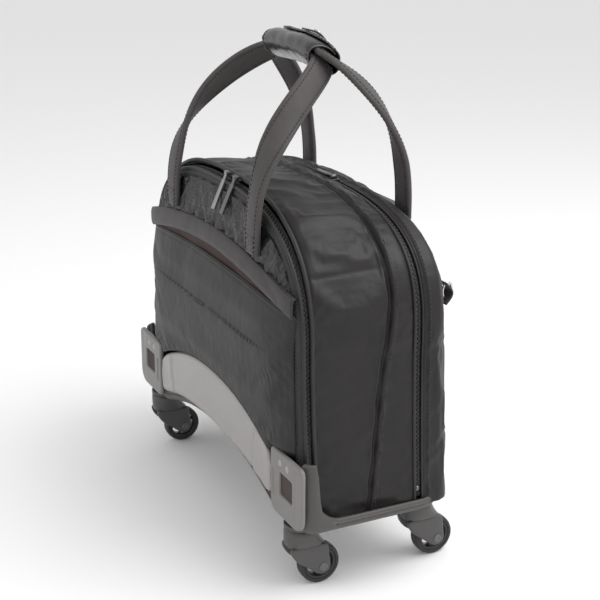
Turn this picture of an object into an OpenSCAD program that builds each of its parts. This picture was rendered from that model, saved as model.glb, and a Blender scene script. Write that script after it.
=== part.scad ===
// Rolling laptop case: soft shell on a moulded base, four swivel casters,
// two carry handles joined by a leather wrap, and a three-stage trolley handle.
// X is the long width, -Y is the pocket side, +Z is up, and Z = 0 is the floor.

/* [Shell] */
// Width of the shell at the front zip
front_w = 395; // [380:1:400]
// Height of the shell's top at the front zip
front_top = 388; // [384:1:390]
// Width of the shell at its rear rib
rear_w = 428; // [420:1:430]
// Height of the shell's top at its rear rib
rear_top = 366; // [362:1:368]
// Height where the straight ends turn into the arch
spring_z = 240; // [235:1:245]
// How far each end flares out towards the base
flare = 13; // [8:1:14]
// Thickness of the padded fabric
wall = 4; // [3:0.5:5]

/* [Front door] */
// Height of the fold that the front door turns on
fold_z = 172; // [170:1:174]
// Y of the outermost front surface
front_y = -96.5; // [-97:0.5:-96]
// Arched rise of the welt band across the front
welt_rise = 24; // [20:1:26]
// Height of the welt band
welt_h = 20; // [16:1:22]

/* [Base] */
// Width of the moulded base
base_w = 452; // [450:1:456]
// Height of the base's underside above the floor
base_z = 71; // [70:0.5:72]
// Rise of the arch under the middle of the base
base_rise = 30; // [28:1:31]
// Height of the corner guards' top edge
guard_top = 143; // [140:1:146]

/* [Casters] */
// Wheel radius
wheel_r = 21.7; // [21:0.1:22]
// Tyre width
tyre_w = 14.6; // [13:0.1:15]
// Distance from the swivel axis back to the axle
trail = 20; // [18:0.5:20]
// Half the distance between left and right swivel axes
caster_x = 189; // [186:1:190]
// Y of the front swivel axes
caster_front_y = -79; // [-80:0.5:-77]
// Y of the rear swivel axes
caster_rear_y = 54.8; // [53:0.1:55]

/* [Handles] */
// Width of the carry straps
strap_w = 28; // [26:1:30]
// Thickness of the carry straps
strap_t = 8; // [7:0.5:8]
// Half the distance between a strap's two ends
strap_x = 107; // [105:1:110]
// Height of the straps where they cross under the wrap
strap_top = 510; // [500:1:520]
// Length of the leather wrap
wrap_l = 106; // [100:1:110]

/* [Trolley] */
// Half the distance between the two tubes
tube_x = 58; // [52:1:60]
// Y of the tubes
tube_y = 87; // [87:0.1:87.2]
// Travel of each of the three stages
stage_travel = 195; // [150:5:195]

/* [Hidden] */

$fn = 48;
left = -1;
right = 1;
gap = 0.3;

fabric_colour = [0.24, 0.23, 0.23];
quilt_colour = [0.20, 0.20, 0.22];
welt_colour = [0.40, 0.38, 0.38];
zip_colour = [0.28, 0.30, 0.29];
plastic_colour = [0.50, 0.48, 0.47];
silver_colour = [0.68, 0.66, 0.65];
dark_colour = [0.16, 0.16, 0.16];
leather_colour = [0.08, 0.08, 0.09];
metal_colour = [0.65, 0.65, 0.66];
insert_colour = [0.20, 0.14, 0.13];
tyre_colour = [0.12, 0.12, 0.12];

// ---- Stations along the depth of the shell
zip_front_y = [-78, -70];
zip_rear_y = [34, 42];
rear_y = 78;
door_face_y = -87;
gusset_z = base_z + 11;
floor_mid_z = gusset_z + base_rise + 1;
floor_half = 152;
arch_step = 6;
flare_fade = 0.24;

// ---- Outline of the shell at one station, as points in the XZ plane
function flip(v) = v < 0 ? -1 : 1;
function super(c, n) = flip(c) * pow(abs(c), 2 / n);
function floor_z(x, low, mid) = mid - (mid - low) * pow(x / floor_half, 2);
function flare_at(w) = flare - flare_fade * (w - front_w / 2);
function side_x(w, z) = w + flare_at(w) * pow(max(0, (spring_z - z) / (spring_z - gusset_z)), 1.4);
function outline(w, top, n, low, mid) = concat(
    [for (i = [0 : 4]) let (z = low + (spring_z - low) * i / 5) [side_x(w, z), z]],
    [for (a = [0 : arch_step : 180])
        [w * super(cos(a), n), spring_z + (top - spring_z) * super(sin(a), n)]],
    [for (i = [4 : -1 : 0]) let (z = low + (spring_z - low) * i / 5) [-side_x(w, z), z]],
    [for (x = [-floor_half : floor_half / 4 : floor_half]) [x, floor_z(x, low, mid)]]);
function ring(y, w, top, n, low, mid) = [for (p = outline(w, top, n, low, mid)) [p[0], y, p[1]]];

// ---- Solid through a list of rings; a closed one joins its last ring to its first
module loft(rings, closed = false) {
    m = len(rings[0]);
    k = len(rings);
    last = closed ? k : k - 1;
    points = [for (r = rings) for (p = r) p];
    sides = [for (i = [0 : last - 1]) for (j = [0 : m - 1])
        [i * m + j, ((i + 1) % k) * m + j, ((i + 1) % k) * m + (j + 1) % m, i * m + (j + 1) % m]];
    caps = closed ? [] : [[for (j = [0 : m - 1]) j], [for (j = [m - 1 : -1 : 0]) (k - 1) * m + j]];
    polyhedron(points, concat(sides, caps), convexity = 8);
}

module tunnel(stations, low, mid, t) {
    outer = [for (s = stations) ring(s[0], s[1], s[2], s[3], low, mid)];
    inner = [for (i = [len(stations) - 1 : -1 : 0]) let (s = stations[i])
        ring(s[0], s[1] - t, s[2] - t, s[3], low + t, mid + t)];
    loft(concat(outer, inner), closed = true);
}

// ---- Half of a part mirrored to both ends
module both_ends() {
    children();
    mirror([1, 0, 0]) children();
}

// ---- Base ------------------------------------------------------------
tray_front = front_y + 4.1;
tray_back = 72;
tray_top = gusset_z - 0.3;
post_x = [214, base_w / 2];
post_y = [tray_front, tray_front + 15];
post_top = 147;
post_fillet = 28;
stem_hole_r = 8;

module tray_plan(shrink = 0) {
    x = base_w / 2 - shrink;
    r_front = 16;
    r_rear = 34;
    y0 = tray_front + shrink;
    y1 = tray_back - shrink;
    polygon(concat(
        [for (a = [180 : 10 : 270]) [-x + r_front + r_front * cos(a), y0 + r_front + r_front * sin(a)]],
        [for (a = [270 : 10 : 360]) [x - r_front + r_front * cos(a), y0 + r_front + r_front * sin(a)]],
        [for (a = [0 : 10 : 90]) [x - r_rear + r_rear * cos(a), y1 - r_rear + r_rear * sin(a)]],
        [for (a = [90 : 10 : 180]) [-x + r_rear + r_rear * cos(a), y1 - r_rear + r_rear * sin(a)]]));
}

module along_y(y0, y1) {
    translate([0, y1, 0]) rotate([90, 0, 0]) linear_extrude(y1 - y0) children();
}

// Cross-section of a layer that follows the arched floor
module floor_section(x, z0, z1, rise) {
    polygon(concat(
        [for (i = [-8 : 8]) let (u = floor_half * i / 8) [u, z0 + rise * (1 - pow(i / 8, 2))]],
        [[x, z0], [x, z1]],
        [for (i = [8 : -1 : -8]) let (u = floor_half * i / 8) [u, z1 + rise * (1 - pow(i / 8, 2))]],
        [[-x, z1], [-x, z0]]));
}

module corner_post() {
    translate([post_x[0], 0, 0]) rotate([90, 0, 90]) linear_extrude(post_x[1] - post_x[0]) {
        difference() {
            translate([post_y[0], base_z]) square([15 + post_fillet, post_top - base_z]);
            translate([post_y[1] + post_fillet, tray_top + 3 + post_fillet]) circle(post_fillet);
            translate([post_y[1], tray_top + 3 + post_fillet]) square([post_fillet + 1, 60]);
            translate([post_y[0] - 1, post_top - 6]) square([4, 7]);
        }
        translate([post_y[0] + 6, post_top - 6]) circle(6);
    }
}

module base_tray() {
    color(plastic_colour) difference() {
        union() {
            intersection() {
                translate([0, 0, base_z - 1]) linear_extrude(50) tray_plan();
                along_y(tray_front - 1, tray_back + 1)
                    floor_section(base_w / 2 + 1, base_z, tray_top, base_rise);
            }
            difference() {
                translate([0, 0, tray_top - 2]) linear_extrude(5) tray_plan();
                translate([0, 0, tray_top - 3]) linear_extrude(7) tray_plan(1.4);
                translate([-floor_half, tray_front - 1, tray_top - 3])
                    cube([2 * floor_half, tray_back - tray_front + 2, 8]);
                translate([-base_w / 2, zip_rear_y[0] - 1, tray_top - 3]) cube([base_w, 60, 8]);
            }
            both_ends() corner_post();
            both_ends() translate([floor_half + 4, tray_front, tray_top - 1])
                cube([post_x[0] - floor_half - 4 + 1, 2.4, guard_top - tray_top - 1]);
        }
        for (sx = [left, right]) for (y = [caster_front_y, caster_rear_y])
            translate([sx * caster_x, y, base_z - 1]) cylinder(r = stem_hole_r, h = 7);
        for (sx = [left, right]) for (x = [178, 194]) translate([sx * x, tray_front - 1, 133])
            rotate([-90, 0, 0]) cylinder(r = 2, h = 5);
    }
}

guard_x = [156, 224];
window_x = [177, 205];
window_z = [100, 122];

module guard_outline() {
    polygon(concat([[guard_x[0], 84], [guard_x[0] + 6, 79], [guard_x[1] - 12, 76]],
        [for (a = [-80 : 20 : 0]) [guard_x[1] - 10 + 10 * cos(a), 87 + 10 * sin(a)]],
        [for (a = [0 : 22.5 : 90]) [guard_x[1] - 8 + 8 * cos(a), guard_top - 8 + 8 * sin(a)]],
        [for (a = [90 : 30 : 180]) [guard_x[0] + 4 + 4 * cos(a), guard_top - 4 + 4 * sin(a)]]));
}

module corner_guard() {
    color(silver_colour) difference() {
        along_y(front_y, tray_front) guard_outline();
        translate([window_x[0], front_y - 1, window_z[0]])
            cube([window_x[1] - window_x[0], 6, window_z[1] - window_z[0]]);
        translate([guard_x[0] + 5, front_y - 1, 92]) cube([6, 2, guard_top - 112]);
        for (x = [178, 194]) translate([x, front_y - 1, 133])
            rotate([-90, 0, 0]) cylinder(r = 2, h = 6);
    }
}

module corner_guard_right() { corner_guard(); }
module corner_guard_left() { mirror([1, 0, 0]) corner_guard(); }

module guard_insert() {
    color(insert_colour) translate([window_x[0] + 0.1, tray_front - 2, window_z[0] + 0.1])
        cube([window_x[1] - window_x[0] - 0.2, 2, window_z[1] - window_z[0] - 0.2]);
}

module guard_insert_right() { guard_insert(); }
module guard_insert_left() { mirror([1, 0, 0]) guard_insert(); }

module guard_rivets() {
    color(metal_colour) for (sx = [left, right]) for (x = [178, 194]) translate([sx * x, 0, 133])
        rotate([-90, 0, 0]) {
            translate([0, 0, front_y]) cylinder(r = 2, h = 6.4);
            translate([0, 0, tray_front + 2.4]) cylinder(r = 3.4, h = 1);
        }
}

plate_x = 152;
plate_low = 84;
plate_low_rise = 22;
plate_high = 138;
plate_high_rise = 30;
module front_plate() {
    color(silver_colour) along_y(front_y + 1, tray_front) polygon(concat(
        [for (i = [-12 : 12]) let (u = plate_x * i / 12)
            [u, plate_low + plate_low_rise * (1 - pow(abs(i / 12), 2.5)) + (abs(i) == 12 ? 8 : 0)]],
        [for (i = [12 : -1 : -12]) let (u = plate_x * i / 12)
            [u, plate_high + plate_high_rise * (1 - pow(i / 12, 2)) - (abs(i) == 12 ? 6 : 0)]]));
}

// ---- Shell -----------------------------------------------------------
apron_x = 208;
apron_y = -88;

module apron_plan(shrink) {
    x = apron_x - shrink;
    y = apron_y + shrink;
    r = 15 - shrink;
    polygon(concat([[-x, zip_front_y[1] - gap]],
        [for (a = [180 : 15 : 270]) [-x + r + r * cos(a), y + r + r * sin(a)]],
        [for (a = [270 : 15 : 360]) [x - r + r * cos(a), y + r + r * sin(a)]],
        [[x, zip_front_y[1] - gap]]));
}

module front_apron() {
    color(fabric_colour) difference() {
        translate([0, 0, gusset_z + base_rise + 2]) linear_extrude(fold_z - gusset_z - base_rise - 2 - gap / 2)
            apron_plan(0);
        translate([0, 0, gusset_z]) linear_extrude(fold_z) apron_plan(wall);
        translate([-apron_x, zip_front_y[1] - gap - 0.2, gusset_z]) cube([2 * apron_x, 4, 100]);
    }
}

gusset_stations = [
    [zip_front_y[1], front_w / 2 - 2, front_top - 5, 2.7],
    [zip_front_y[1] + 6, front_w / 2, front_top, 2.7],
    [-20, front_w / 2 + 6, front_top - 7, 2.8],
    [zip_rear_y[0] - 5, rear_w / 2 - 4, rear_top + 6, 3.1],
    [zip_rear_y[0], rear_w / 2 - 5, rear_top + 4, 3.2]];

module main_gusset() {
    color(fabric_colour) tunnel(gusset_stations, gusset_z, floor_mid_z, wall);
}

module zip_rear() {
    color(zip_colour) tunnel([
        [zip_rear_y[0] + 0.02, rear_w / 2 - 6.5, rear_top + 2.5, 3.2],
        [zip_rear_y[1] - 0.02, rear_w / 2 - 5.5, rear_top + 2.5, 3.2]],
        gusset_z, floor_mid_z, 2);
}

// Y, half width and top of the rear shell's outside, from its rim to its flat back
rear_stations = [
    [zip_rear_y[1], rear_w / 2 - 4, rear_top + 4],
    [zip_rear_y[1] + 5, rear_w / 2, rear_top + 5],
    [60, rear_w / 2, rear_top + 4],
    [69, rear_w / 2 - 6, rear_top - 5],
    [75, rear_w / 2 - 16, rear_top - 22],
    [rear_y, rear_w / 2 - 34, rear_top - 42]];

// A dish: its outside runs from the flat face to the rim, and its inside back again
function dish_in(s, rim, face) = s + wall * sign(rim - face) * pow((s - rim) / (face - rim), 2);
module dish(stations, n, low, mid) {
    rim = stations[0][0];
    k = len(stations) - 1;
    face = stations[k][0];
    outer = [for (s = stations) ring(s[0], s[1], s[2], n, low, mid)];
    inner = [for (i = [k : -1 : 0]) let (s = stations[i])
        ring(dish_in(s[0], rim, face), s[1] - wall, s[2] - wall, n, low + wall, mid + wall)];
    path = concat(inner, outer);
    loft(face > rim ? path : [for (i = [len(path) - 1 : -1 : 0]) path[i]]);
}

module rear_shell() {
    color(fabric_colour) dish(rear_stations, 3.2, gusset_z, floor_mid_z);
}

module floor_pad() {
    color(dark_colour) along_y(-60, 34)
        floor_section(196, gusset_z + wall + 0.2, gusset_z + wall + 6, base_rise + 1);
}

sleeve_x = 178;
sleeve_y = [37, 62];
sleeve_z = [gusset_z + base_rise + wall + 4, 292];

module laptop_sleeve() {
    color(dark_colour) difference() {
        translate([-sleeve_x, sleeve_y[0], sleeve_z[0]])
            cube([2 * sleeve_x, sleeve_y[1] - sleeve_y[0], sleeve_z[1] - sleeve_z[0]]);
        translate([-sleeve_x + 3, sleeve_y[0] + 3, sleeve_z[0] + 4])
            cube([2 * sleeve_x - 6, sleeve_y[1] - sleeve_y[0] - 6, sleeve_z[1]]);
    }
}

// ---- Front door --------------------------------------------------------
// Y, half width and top of the door's outside, from its rim to its face
door_stations = [
    [zip_front_y[0], front_w / 2 - 2, front_top - 10],
    [zip_front_y[0] - 3, front_w / 2 - 4, front_top - 18],
    [zip_front_y[0] - 6, front_w / 2 - 7, front_top - 30],
    [door_face_y, front_w / 2 - 12, front_top - 46]];
door_n = 2.7;
door_low = fold_z + gap / 2;

module front_door_panel() {
    color(quilt_colour) dish(door_stations, door_n, door_low, door_low);
}

module zip_front() {
    color(zip_colour) tunnel([
        [zip_front_y[0] + 0.02, front_w / 2 - 3.5, front_top - 11.5, door_n],
        [zip_front_y[1] - gap, front_w / 2 - 3.5, front_top - 6.5, door_n]],
        door_low, door_low, 2);
}

pocket_x = 185;
pocket_t = 2;
pocket_edge_z = 296;
pocket_drop = 11;
welt_mid_z = 309;
pocket_r = (pocket_x * pocket_x + pocket_drop * pocket_drop) / (2 * pocket_drop);
welt_r = (pocket_x * pocket_x + welt_rise * welt_rise) / (2 * welt_rise);

function pocket_y(x) = front_y + (door_face_y - pocket_t - 0.2 - front_y) * pow(abs(x) / pocket_x, 5);

module pocket_panel() {
    color(fabric_colour) intersection() {
        translate([0, 0, fold_z + 4]) linear_extrude(200) polygon(concat(
            [for (i = [-16 : 16]) let (x = pocket_x * i / 16) [x, pocket_y(x)]],
            [for (i = [16 : -1 : -16]) let (x = pocket_x * i / 16) [x, pocket_y(x) + pocket_t]]));
        translate([0, 0, pocket_edge_z - pocket_r]) rotate([90, 0, 0])
            cylinder(r = pocket_r, h = 300, center = true, $fn = 180);
    }
}

module pocket_welt() {
    color(welt_colour) intersection() {
        translate([0, door_face_y - 0.02, welt_mid_z - welt_r]) rotate([90, 0, 0]) difference() {
            cylinder(r = welt_r + welt_h, h = 3.2, $fn = 180);
            translate([0, 0, -1]) cylinder(r = welt_r, h = 6, $fn = 180);
        }
        translate([-pocket_x + 2, -100, 200]) cube([2 * pocket_x - 4, 30, 200]);
    }
}

module organizer_pocket() {
    y0 = door_face_y + wall + 0.02;
    color(dark_colour) difference() {
        translate([-150, y0, fold_z + 18]) cube([300, 12, 92]);
        translate([-148.5, y0 - 1, fold_z + 20]) cube([297, 11.5, 120]);
    }
}

// ---- Carry handles -----------------------------------------------------
strap_n = 3.6;
tilt = 58;
front_base = [-91.8, 328];
rear_base = [77.8, 346];
wrap_y = 8;
ply = strap_t / 2 + 0.5;
join_h = 0.96;
wrap_x = 8;

function lean(u) = pow(u, 2.8);
function strap_point(a, base, top) = let (h = super(sin(a), strap_n))
    [strap_x * super(cos(a), strap_n),
     base[0] + (top[0] - base[0]) * lean(min(1, h / join_h)),
     base[1] + (top[1] - base[1]) * h];
function unit(v) = v / norm(v);
function twist(a) = let (u = min(1, max(0, (super(sin(a), strap_n) - 0.3) / 0.62)))
    90 * u * u * (3 - 2 * u);
function strap_frame(a, base, top, way) =
    let (t = unit(strap_point(min(180, a + 1), base, top) - strap_point(max(0, a - 1), base, top)),
         q = twist(a),
         w = [way * flip(cos(a)) * cos(q), sin(q) * sin(tilt), -sin(q) * cos(tilt)],
         side = unit(w - (w * t) * t))
    [side, cross(t, side)];
function strap_ring(a, base, top, way, t, drop = 0) =
    let (c = strap_point(a, base, top) - [0, 0, drop], f = strap_frame(a, base, top, way),
         w = strap_w, b = min(1.5, t / 4))
    [for (p = [[-w / 2, -t / 2 + b], [-w / 2 + b, -t / 2], [w / 2 - b, -t / 2], [w / 2, -t / 2 + b],
               [w / 2, t / 2 - b], [w / 2 - b, t / 2], [-w / 2 + b, t / 2], [-w / 2, t / 2 - b]])
        c + p[0] * f[0] + p[1] * f[1]];
// Rings that round a strap's end about its base line
function strap_end(a, base, top, way, angles) = [for (b = angles)
    strap_ring(a, base, top, way, strap_t * cos(b), strap_t / 2 * sin(b))];

front_over = [wrap_y - ply * cos(tilt), strap_top - ply * sin(tilt)];
rear_over = [wrap_y + ply * cos(tilt), strap_top + ply * sin(tilt)];
strap_angles = concat([0, 1.5, 3], [for (a = [6 : 4 : 174]) a], [177, 178.5, 180]);

module strap(base, top, way) {
    color(welt_colour) loft(concat(
        strap_end(0, base, top, way, [75, 50, 25]),
        [for (a = strap_angles) strap_ring(a, base, top, way, strap_t)],
        strap_end(180, base, top, way, [25, 50, 75])));
}

module front_strap() { strap(front_base, front_over, 1); }
module rear_strap() { strap(rear_base, rear_over, -1); }

// The wrap is an oval sleeve that bends with the straps
wrap_half = [19.5, 14];
function wrap_z(x) = let (h = pow(1 - pow(abs(x) / strap_x, strap_n), 1 / strap_n))
    (front_base[1] + rear_base[1]) / 2
    + (strap_top - (front_base[1] + rear_base[1]) / 2) * h;
function wrap_ring(x, grow) = [for (a = [0 : 15 : 345]) let (
    p = (wrap_half[0] + grow) * cos(a), q = (wrap_half[1] + grow) * sin(a))
    [x, wrap_y + p * sin(tilt) + q * cos(tilt), wrap_z(x) - p * cos(tilt) + q * sin(tilt)]];

module handle_wrap() {
    xs = [for (i = [-6 : 6]) wrap_x + wrap_l / 2 * i / 6];
    color(leather_colour) loft(concat(
        [for (x = xs) wrap_ring(x, 2.5)],
        [for (i = [len(xs) - 1 : -1 : 0]) wrap_ring(xs[i], 0.4)]), closed = true);
}

module wrap_snap() {
    color(metal_colour) translate([20, wrap_y - 5.2, wrap_z(20) + wrap_half[1] + 3.7])
        cylinder(r = 5, h = 1.8);
}

// ---- Trolley ------------------------------------------------------------
tube_low = 100;
tube_high = 318;
outer_r = 8.5;
tube_wall = 0.8;
slip = 0.05;
collar_h = 3;
bezel_z = [302, 320];
grip_z = [327.2, 349];
grip_x = 76;
back_y = [rear_y + gap, caster_rear_y + trail + wheel_r];

module tube_pair(stage, top) {
    r = outer_r - stage * (tube_wall + slip);
    for (sx = [left, right]) translate([sx * tube_x, tube_y, tube_low + 2 * stage])
        difference() {
            cylinder(r = r, h = top - tube_low - 2 * stage);
            translate([0, 0, -1]) cylinder(r = r - tube_wall, h = 400);
        }
}

module collar_pair(r, bore, z) {
    for (sx = [left, right]) translate([sx * tube_x, tube_y, z]) difference() {
        cylinder(r = r, h = collar_h);
        translate([0, 0, -1]) cylinder(r = bore, h = collar_h + 2);
    }
}

module outer_tubes() { color(metal_colour) tube_pair(0, tube_high); }

module stage_tubes(stage) {
    r = outer_r - stage * (tube_wall + slip);
    z = bezel_z[1] + gap + (stage - 1) * (collar_h + gap);
    color(metal_colour) {
        tube_pair(stage, z + 0.5);
        collar_pair(outer_r - 0.1, r - tube_wall, z);
    }
}

module stage_1_tubes() { stage_tubes(1); }
module stage_2_tubes() { stage_tubes(2); }
module stage_3_tubes() { color(metal_colour) tube_pair(3, grip_z[0] + 14); }

module back_bar(x, z0, z1) {
    translate([0, 0, z0]) linear_extrude(z1 - z0) polygon(concat(
        [[-x, back_y[0]], [x, back_y[0]]],
        [for (a = [0 : 15 : 90]) [x - 8 + 8 * cos(a), back_y[1] - 8 + 8 * sin(a)]],
        [for (a = [90 : 15 : 180]) [-x + 8 + 8 * cos(a), back_y[1] - 8 + 8 * sin(a)]]));
}

module trolley_bezel() {
    color(plastic_colour) difference() {
        back_bar(grip_x + 6, bezel_z[0], bezel_z[1]);
        for (sx = [left, right]) translate([sx * tube_x, tube_y, bezel_z[0] - 1]) {
            cylinder(r = outer_r, h = tube_high - bezel_z[0] + 1);
            cylinder(r = outer_r - tube_wall, h = 40);
        }
        for (sx = [left, right]) translate([sx * 30, back_y[1] - 3, 311]) rotate([-90, 0, 0])
            cylinder(r = 3, h = 5);
    }
}

module trolley_foot() {
    color(plastic_colour) difference() {
        back_bar(grip_x, 92, 112);
        for (sx = [left, right]) translate([sx * tube_x, tube_y, tube_low])
            cylinder(r = outer_r, h = 40);
        for (sx = [left, right]) translate([sx * 30, back_y[1] - 3, 102]) rotate([-90, 0, 0])
            cylinder(r = 3, h = 5);
    }
}

module bezel_screws() {
    color(metal_colour) for (sx = [left, right]) for (z = [102, 311])
        translate([sx * 30, back_y[1] - 3, z]) rotate([-90, 0, 0]) difference() {
            cylinder(r = 3, h = 2.4);
            for (a = [0, 90]) rotate(a) translate([-2, -0.4, 1.4]) cube([4, 0.8, 2]);
        }
}

button = [28, 8, 3];

module trolley_grip() {
    color(dark_colour) difference() {
        back_bar(grip_x, grip_z[0], grip_z[1]);
        for (sx = [left, right]) translate([sx * tube_x, tube_y, grip_z[0] - 1])
            cylinder(r = outer_r - 3 * (tube_wall + slip), h = 15);
        translate([-button[0] / 2 - 0.3, tube_y - button[1] / 2 - 0.3, grip_z[1] - 6])
            cube([button[0] + 0.6, button[1] + 0.6, 10]);
        translate([-38, back_y[0] - 1, grip_z[0] - 1]) cube([76, 9, 15]);
    }
}

module grip_button() {
    color(plastic_colour) translate([-button[0] / 2, tube_y - button[1] / 2, grip_z[1] - 3])
        cube([button[0], button[1], 4.4]);
}

// ---- Zip sliders and pulls ------------------------------------------------
pull_l = 40;
pull_w = 7;
eye_r = 1.2;
pin_x = -2.6;
pin_z = 3.9;
slider_front_x = [12, 34];
slider_front_z = front_top - 5.2;
slider_rear_x = 30;
slider_rear_z = rear_top + 5;

// A slider has two cheeks that carry a cross pin for its pull
module slider_body(axis_turn) {
    rotate(axis_turn) {
        translate([0.2, -4.5, 0]) cube([3.8, 9, 2]);
        for (s = [left, right]) translate([pin_x - 2, s * 3.1 - 0.6, 1.5]) cube([4.4, 1.2, 4.4]);
        translate([pin_x, 0, pin_z]) rotate([90, 0, 0]) cylinder(r = eye_r - 0.2, h = 6.2, center = true);
    }
}

module front_slider(x) {
    color(metal_colour) translate([x, zip_front_y[0] + 3.2, slider_front_z]) slider_body(90);
}

module slider_front_left() { front_slider(slider_front_x[0]); }
module slider_front_right() { front_slider(slider_front_x[1]); }
module slider_rear() {
    color(metal_colour) translate([slider_rear_x, 38, slider_rear_z]) slider_body(0);
}

// A pull is a flat tab with a round eye, drawn hanging down from the origin
module pull_tab() {
    difference() {
        union() {
            rotate([0, 90, 0]) cylinder(r = 2.4, h = 4.6, center = true);
            translate([-2.3, -1.1, -8]) cube([4.6, 2.2, 7]);
            translate([-pull_w / 2, -1.25, -pull_l]) cube([pull_w, 2.5, pull_l - 8]);
        }
        rotate([0, 90, 0]) cylinder(r = eye_r - 0.15, h = 9, center = true);
    }
}

pull_lean = -24;
module front_pull(x) {
    color(metal_colour) translate([x, zip_front_y[0] + 3.2 + pin_x, slider_front_z + pin_z])
        rotate([pull_lean, 0, 0]) pull_tab();
}

module pull_front_left() { front_pull(slider_front_x[0]); }
module pull_front_right() { front_pull(slider_front_x[1]); }
module pull_rear() {
    color(metal_colour) translate([slider_rear_x + pin_x, 38, slider_rear_z + pin_z])
        rotate([0, 88, 0]) rotate(90) pull_tab();
}

// ---- Casters ----------------------------------------------------------------
mount_r = 16.5;
screw_ring = 12.5;
mount_z = [base_z - 4.5, base_z];
pin_r = 4;
fork_z = [46, mount_z[0] - gap];
arm_x = [tyre_w / 2 + 0.9, tyre_w / 2 + 5.4];
axle_r = 3;
rim_r = 16.8;
tyre_edge = 2;

module at_swivel(sx, y) {
    translate([sx * caster_x, y, 0]) children();
}

module at_axle(sx, y) {
    translate([sx * caster_x, y + trail, wheel_r]) rotate([0, 90, 0]) children();
}

module caster_mount(sx, y) {
    color(dark_colour) at_swivel(sx, y) difference() {
        union() {
            translate([0, 0, mount_z[0]]) cylinder(r = mount_r, h = mount_z[1] - mount_z[0]);
            translate([0, 0, fork_z[0] + 3]) cylinder(r = pin_r, h = base_z - fork_z[0] - 3);
        }
        for (a = [45 : 90 : 315]) rotate(a) translate([screw_ring, 0, mount_z[0] - 1])
            cylinder(r = 1.8, h = 8);
    }
}

module fork(sx, y) {
    color(dark_colour) at_swivel(sx, y) difference() {
        union() {
            translate([0, 0, fork_z[0]]) cylinder(r = mount_r, h = fork_z[1] - fork_z[0]);
            for (s = [left, right]) translate([s * (arm_x[0] + arm_x[1]) / 2, 0, 0])
                rotate([90, 0, 90]) linear_extrude(arm_x[1] - arm_x[0], center = true) hull() {
                    translate([-11, fork_z[0] + 6]) square([22, 8]);
                    translate([trail, wheel_r]) circle(8.5);
                }
        }
        translate([0, 0, fork_z[0] - 1]) cylinder(r = pin_r + slip, h = 30);
        translate([0, trail, wheel_r]) rotate([0, 90, 0]) cylinder(r = axle_r, h = 40, center = true);
    }
}

module axle(sx, y) {
    color(metal_colour) at_axle(sx, y) {
        cylinder(r = axle_r - 0.02, h = 2 * arm_x[1], center = true);
        for (s = [left, right]) translate([0, 0, s * (arm_x[1] + 0.7)])
            cylinder(r = 4.6, h = 1.4, center = true);
    }
}

module rim(sx, y) {
    spokes = 6;
    w = tyre_w - 2.4;
    color(dark_colour) at_axle(sx, y) {
        difference() {
            cylinder(r = rim_r, h = w, center = true);
            cylinder(r = rim_r - 2.2, h = w + 2, center = true);
        }
        difference() {
            union() {
                cylinder(r = 6, h = w, center = true);
                for (i = [0 : spokes - 1]) rotate(i * 360 / spokes)
                    translate([4.5, -1.2, -3]) cube([rim_r - 6, 2.4, 6]);
            }
            cylinder(r = axle_r + slip, h = w + 2, center = true);
        }
    }
}

module tyre(sx, y) {
    color(tyre_colour) at_axle(sx, y) rotate_extrude($fn = 64) polygon([
        [rim_r + 0.02, -tyre_w / 2], [wheel_r - tyre_edge, -tyre_w / 2],
        [wheel_r - 0.5, -tyre_w / 2 + tyre_edge], [wheel_r, 0],
        [wheel_r - 0.5, tyre_w / 2 - tyre_edge], [wheel_r - tyre_edge, tyre_w / 2],
        [rim_r + 0.02, tyre_w / 2]]);
}

module mount_screws() {
    color(metal_colour) for (sx = [left, right]) for (y = [caster_front_y, caster_rear_y])
        at_swivel(sx, y) for (a = [45 : 90 : 315]) rotate(a) translate([screw_ring, 0, mount_z[0]])
            cylinder(r = 1.8, h = mount_z[1] - mount_z[0]);
}

module mount_front_left() { caster_mount(left, caster_front_y); }
module mount_front_right() { caster_mount(right, caster_front_y); }
module mount_rear_left() { caster_mount(left, caster_rear_y); }
module mount_rear_right() { caster_mount(right, caster_rear_y); }
module fork_front_left() { fork(left, caster_front_y); }
module fork_front_right() { fork(right, caster_front_y); }
module fork_rear_left() { fork(left, caster_rear_y); }
module fork_rear_right() { fork(right, caster_rear_y); }
module axle_front_left() { axle(left, caster_front_y); }
module axle_front_right() { axle(right, caster_front_y); }
module axle_rear_left() { axle(left, caster_rear_y); }
module axle_rear_right() { axle(right, caster_rear_y); }
module rim_front_left() { rim(left, caster_front_y); }
module rim_front_right() { rim(right, caster_front_y); }
module rim_rear_left() { rim(left, caster_rear_y); }
module rim_rear_right() { rim(right, caster_rear_y); }
module tyre_front_left() { tyre(left, caster_front_y); }
module tyre_front_right() { tyre(right, caster_front_y); }
module tyre_rear_left() { tyre(left, caster_rear_y); }
module tyre_rear_right() { tyre(right, caster_rear_y); }

base_tray();
corner_guard_left();
corner_guard_right();
guard_insert_left();
guard_insert_right();
guard_rivets();
front_plate();
front_apron();
main_gusset();
rear_shell();
zip_rear();
floor_pad();
laptop_sleeve();
outer_tubes();
trolley_bezel();
trolley_foot();
bezel_screws();
front_door_panel();
zip_front();
pocket_panel();
pocket_welt();
organizer_pocket();
front_strap();
handle_wrap();
wrap_snap();
rear_strap();
stage_1_tubes();
stage_2_tubes();
stage_3_tubes();
trolley_grip();
grip_button();
slider_front_left();
slider_front_right();
slider_rear();
pull_front_left();
pull_front_right();
pull_rear();
mount_front_left();
mount_front_right();
mount_rear_left();
mount_rear_right();
fork_front_left();
fork_front_right();
fork_rear_left();
fork_rear_right();
axle_front_left();
axle_front_right();
axle_rear_left();
axle_rear_right();
rim_front_left();
rim_front_right();
rim_rear_left();
rim_rear_right();
tyre_front_left();
tyre_front_right();
tyre_rear_left();
tyre_rear_right();
mount_screws();
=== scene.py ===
import math

import bmesh
import bpy
import numpy as np
from mathutils import Matrix, Vector


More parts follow.
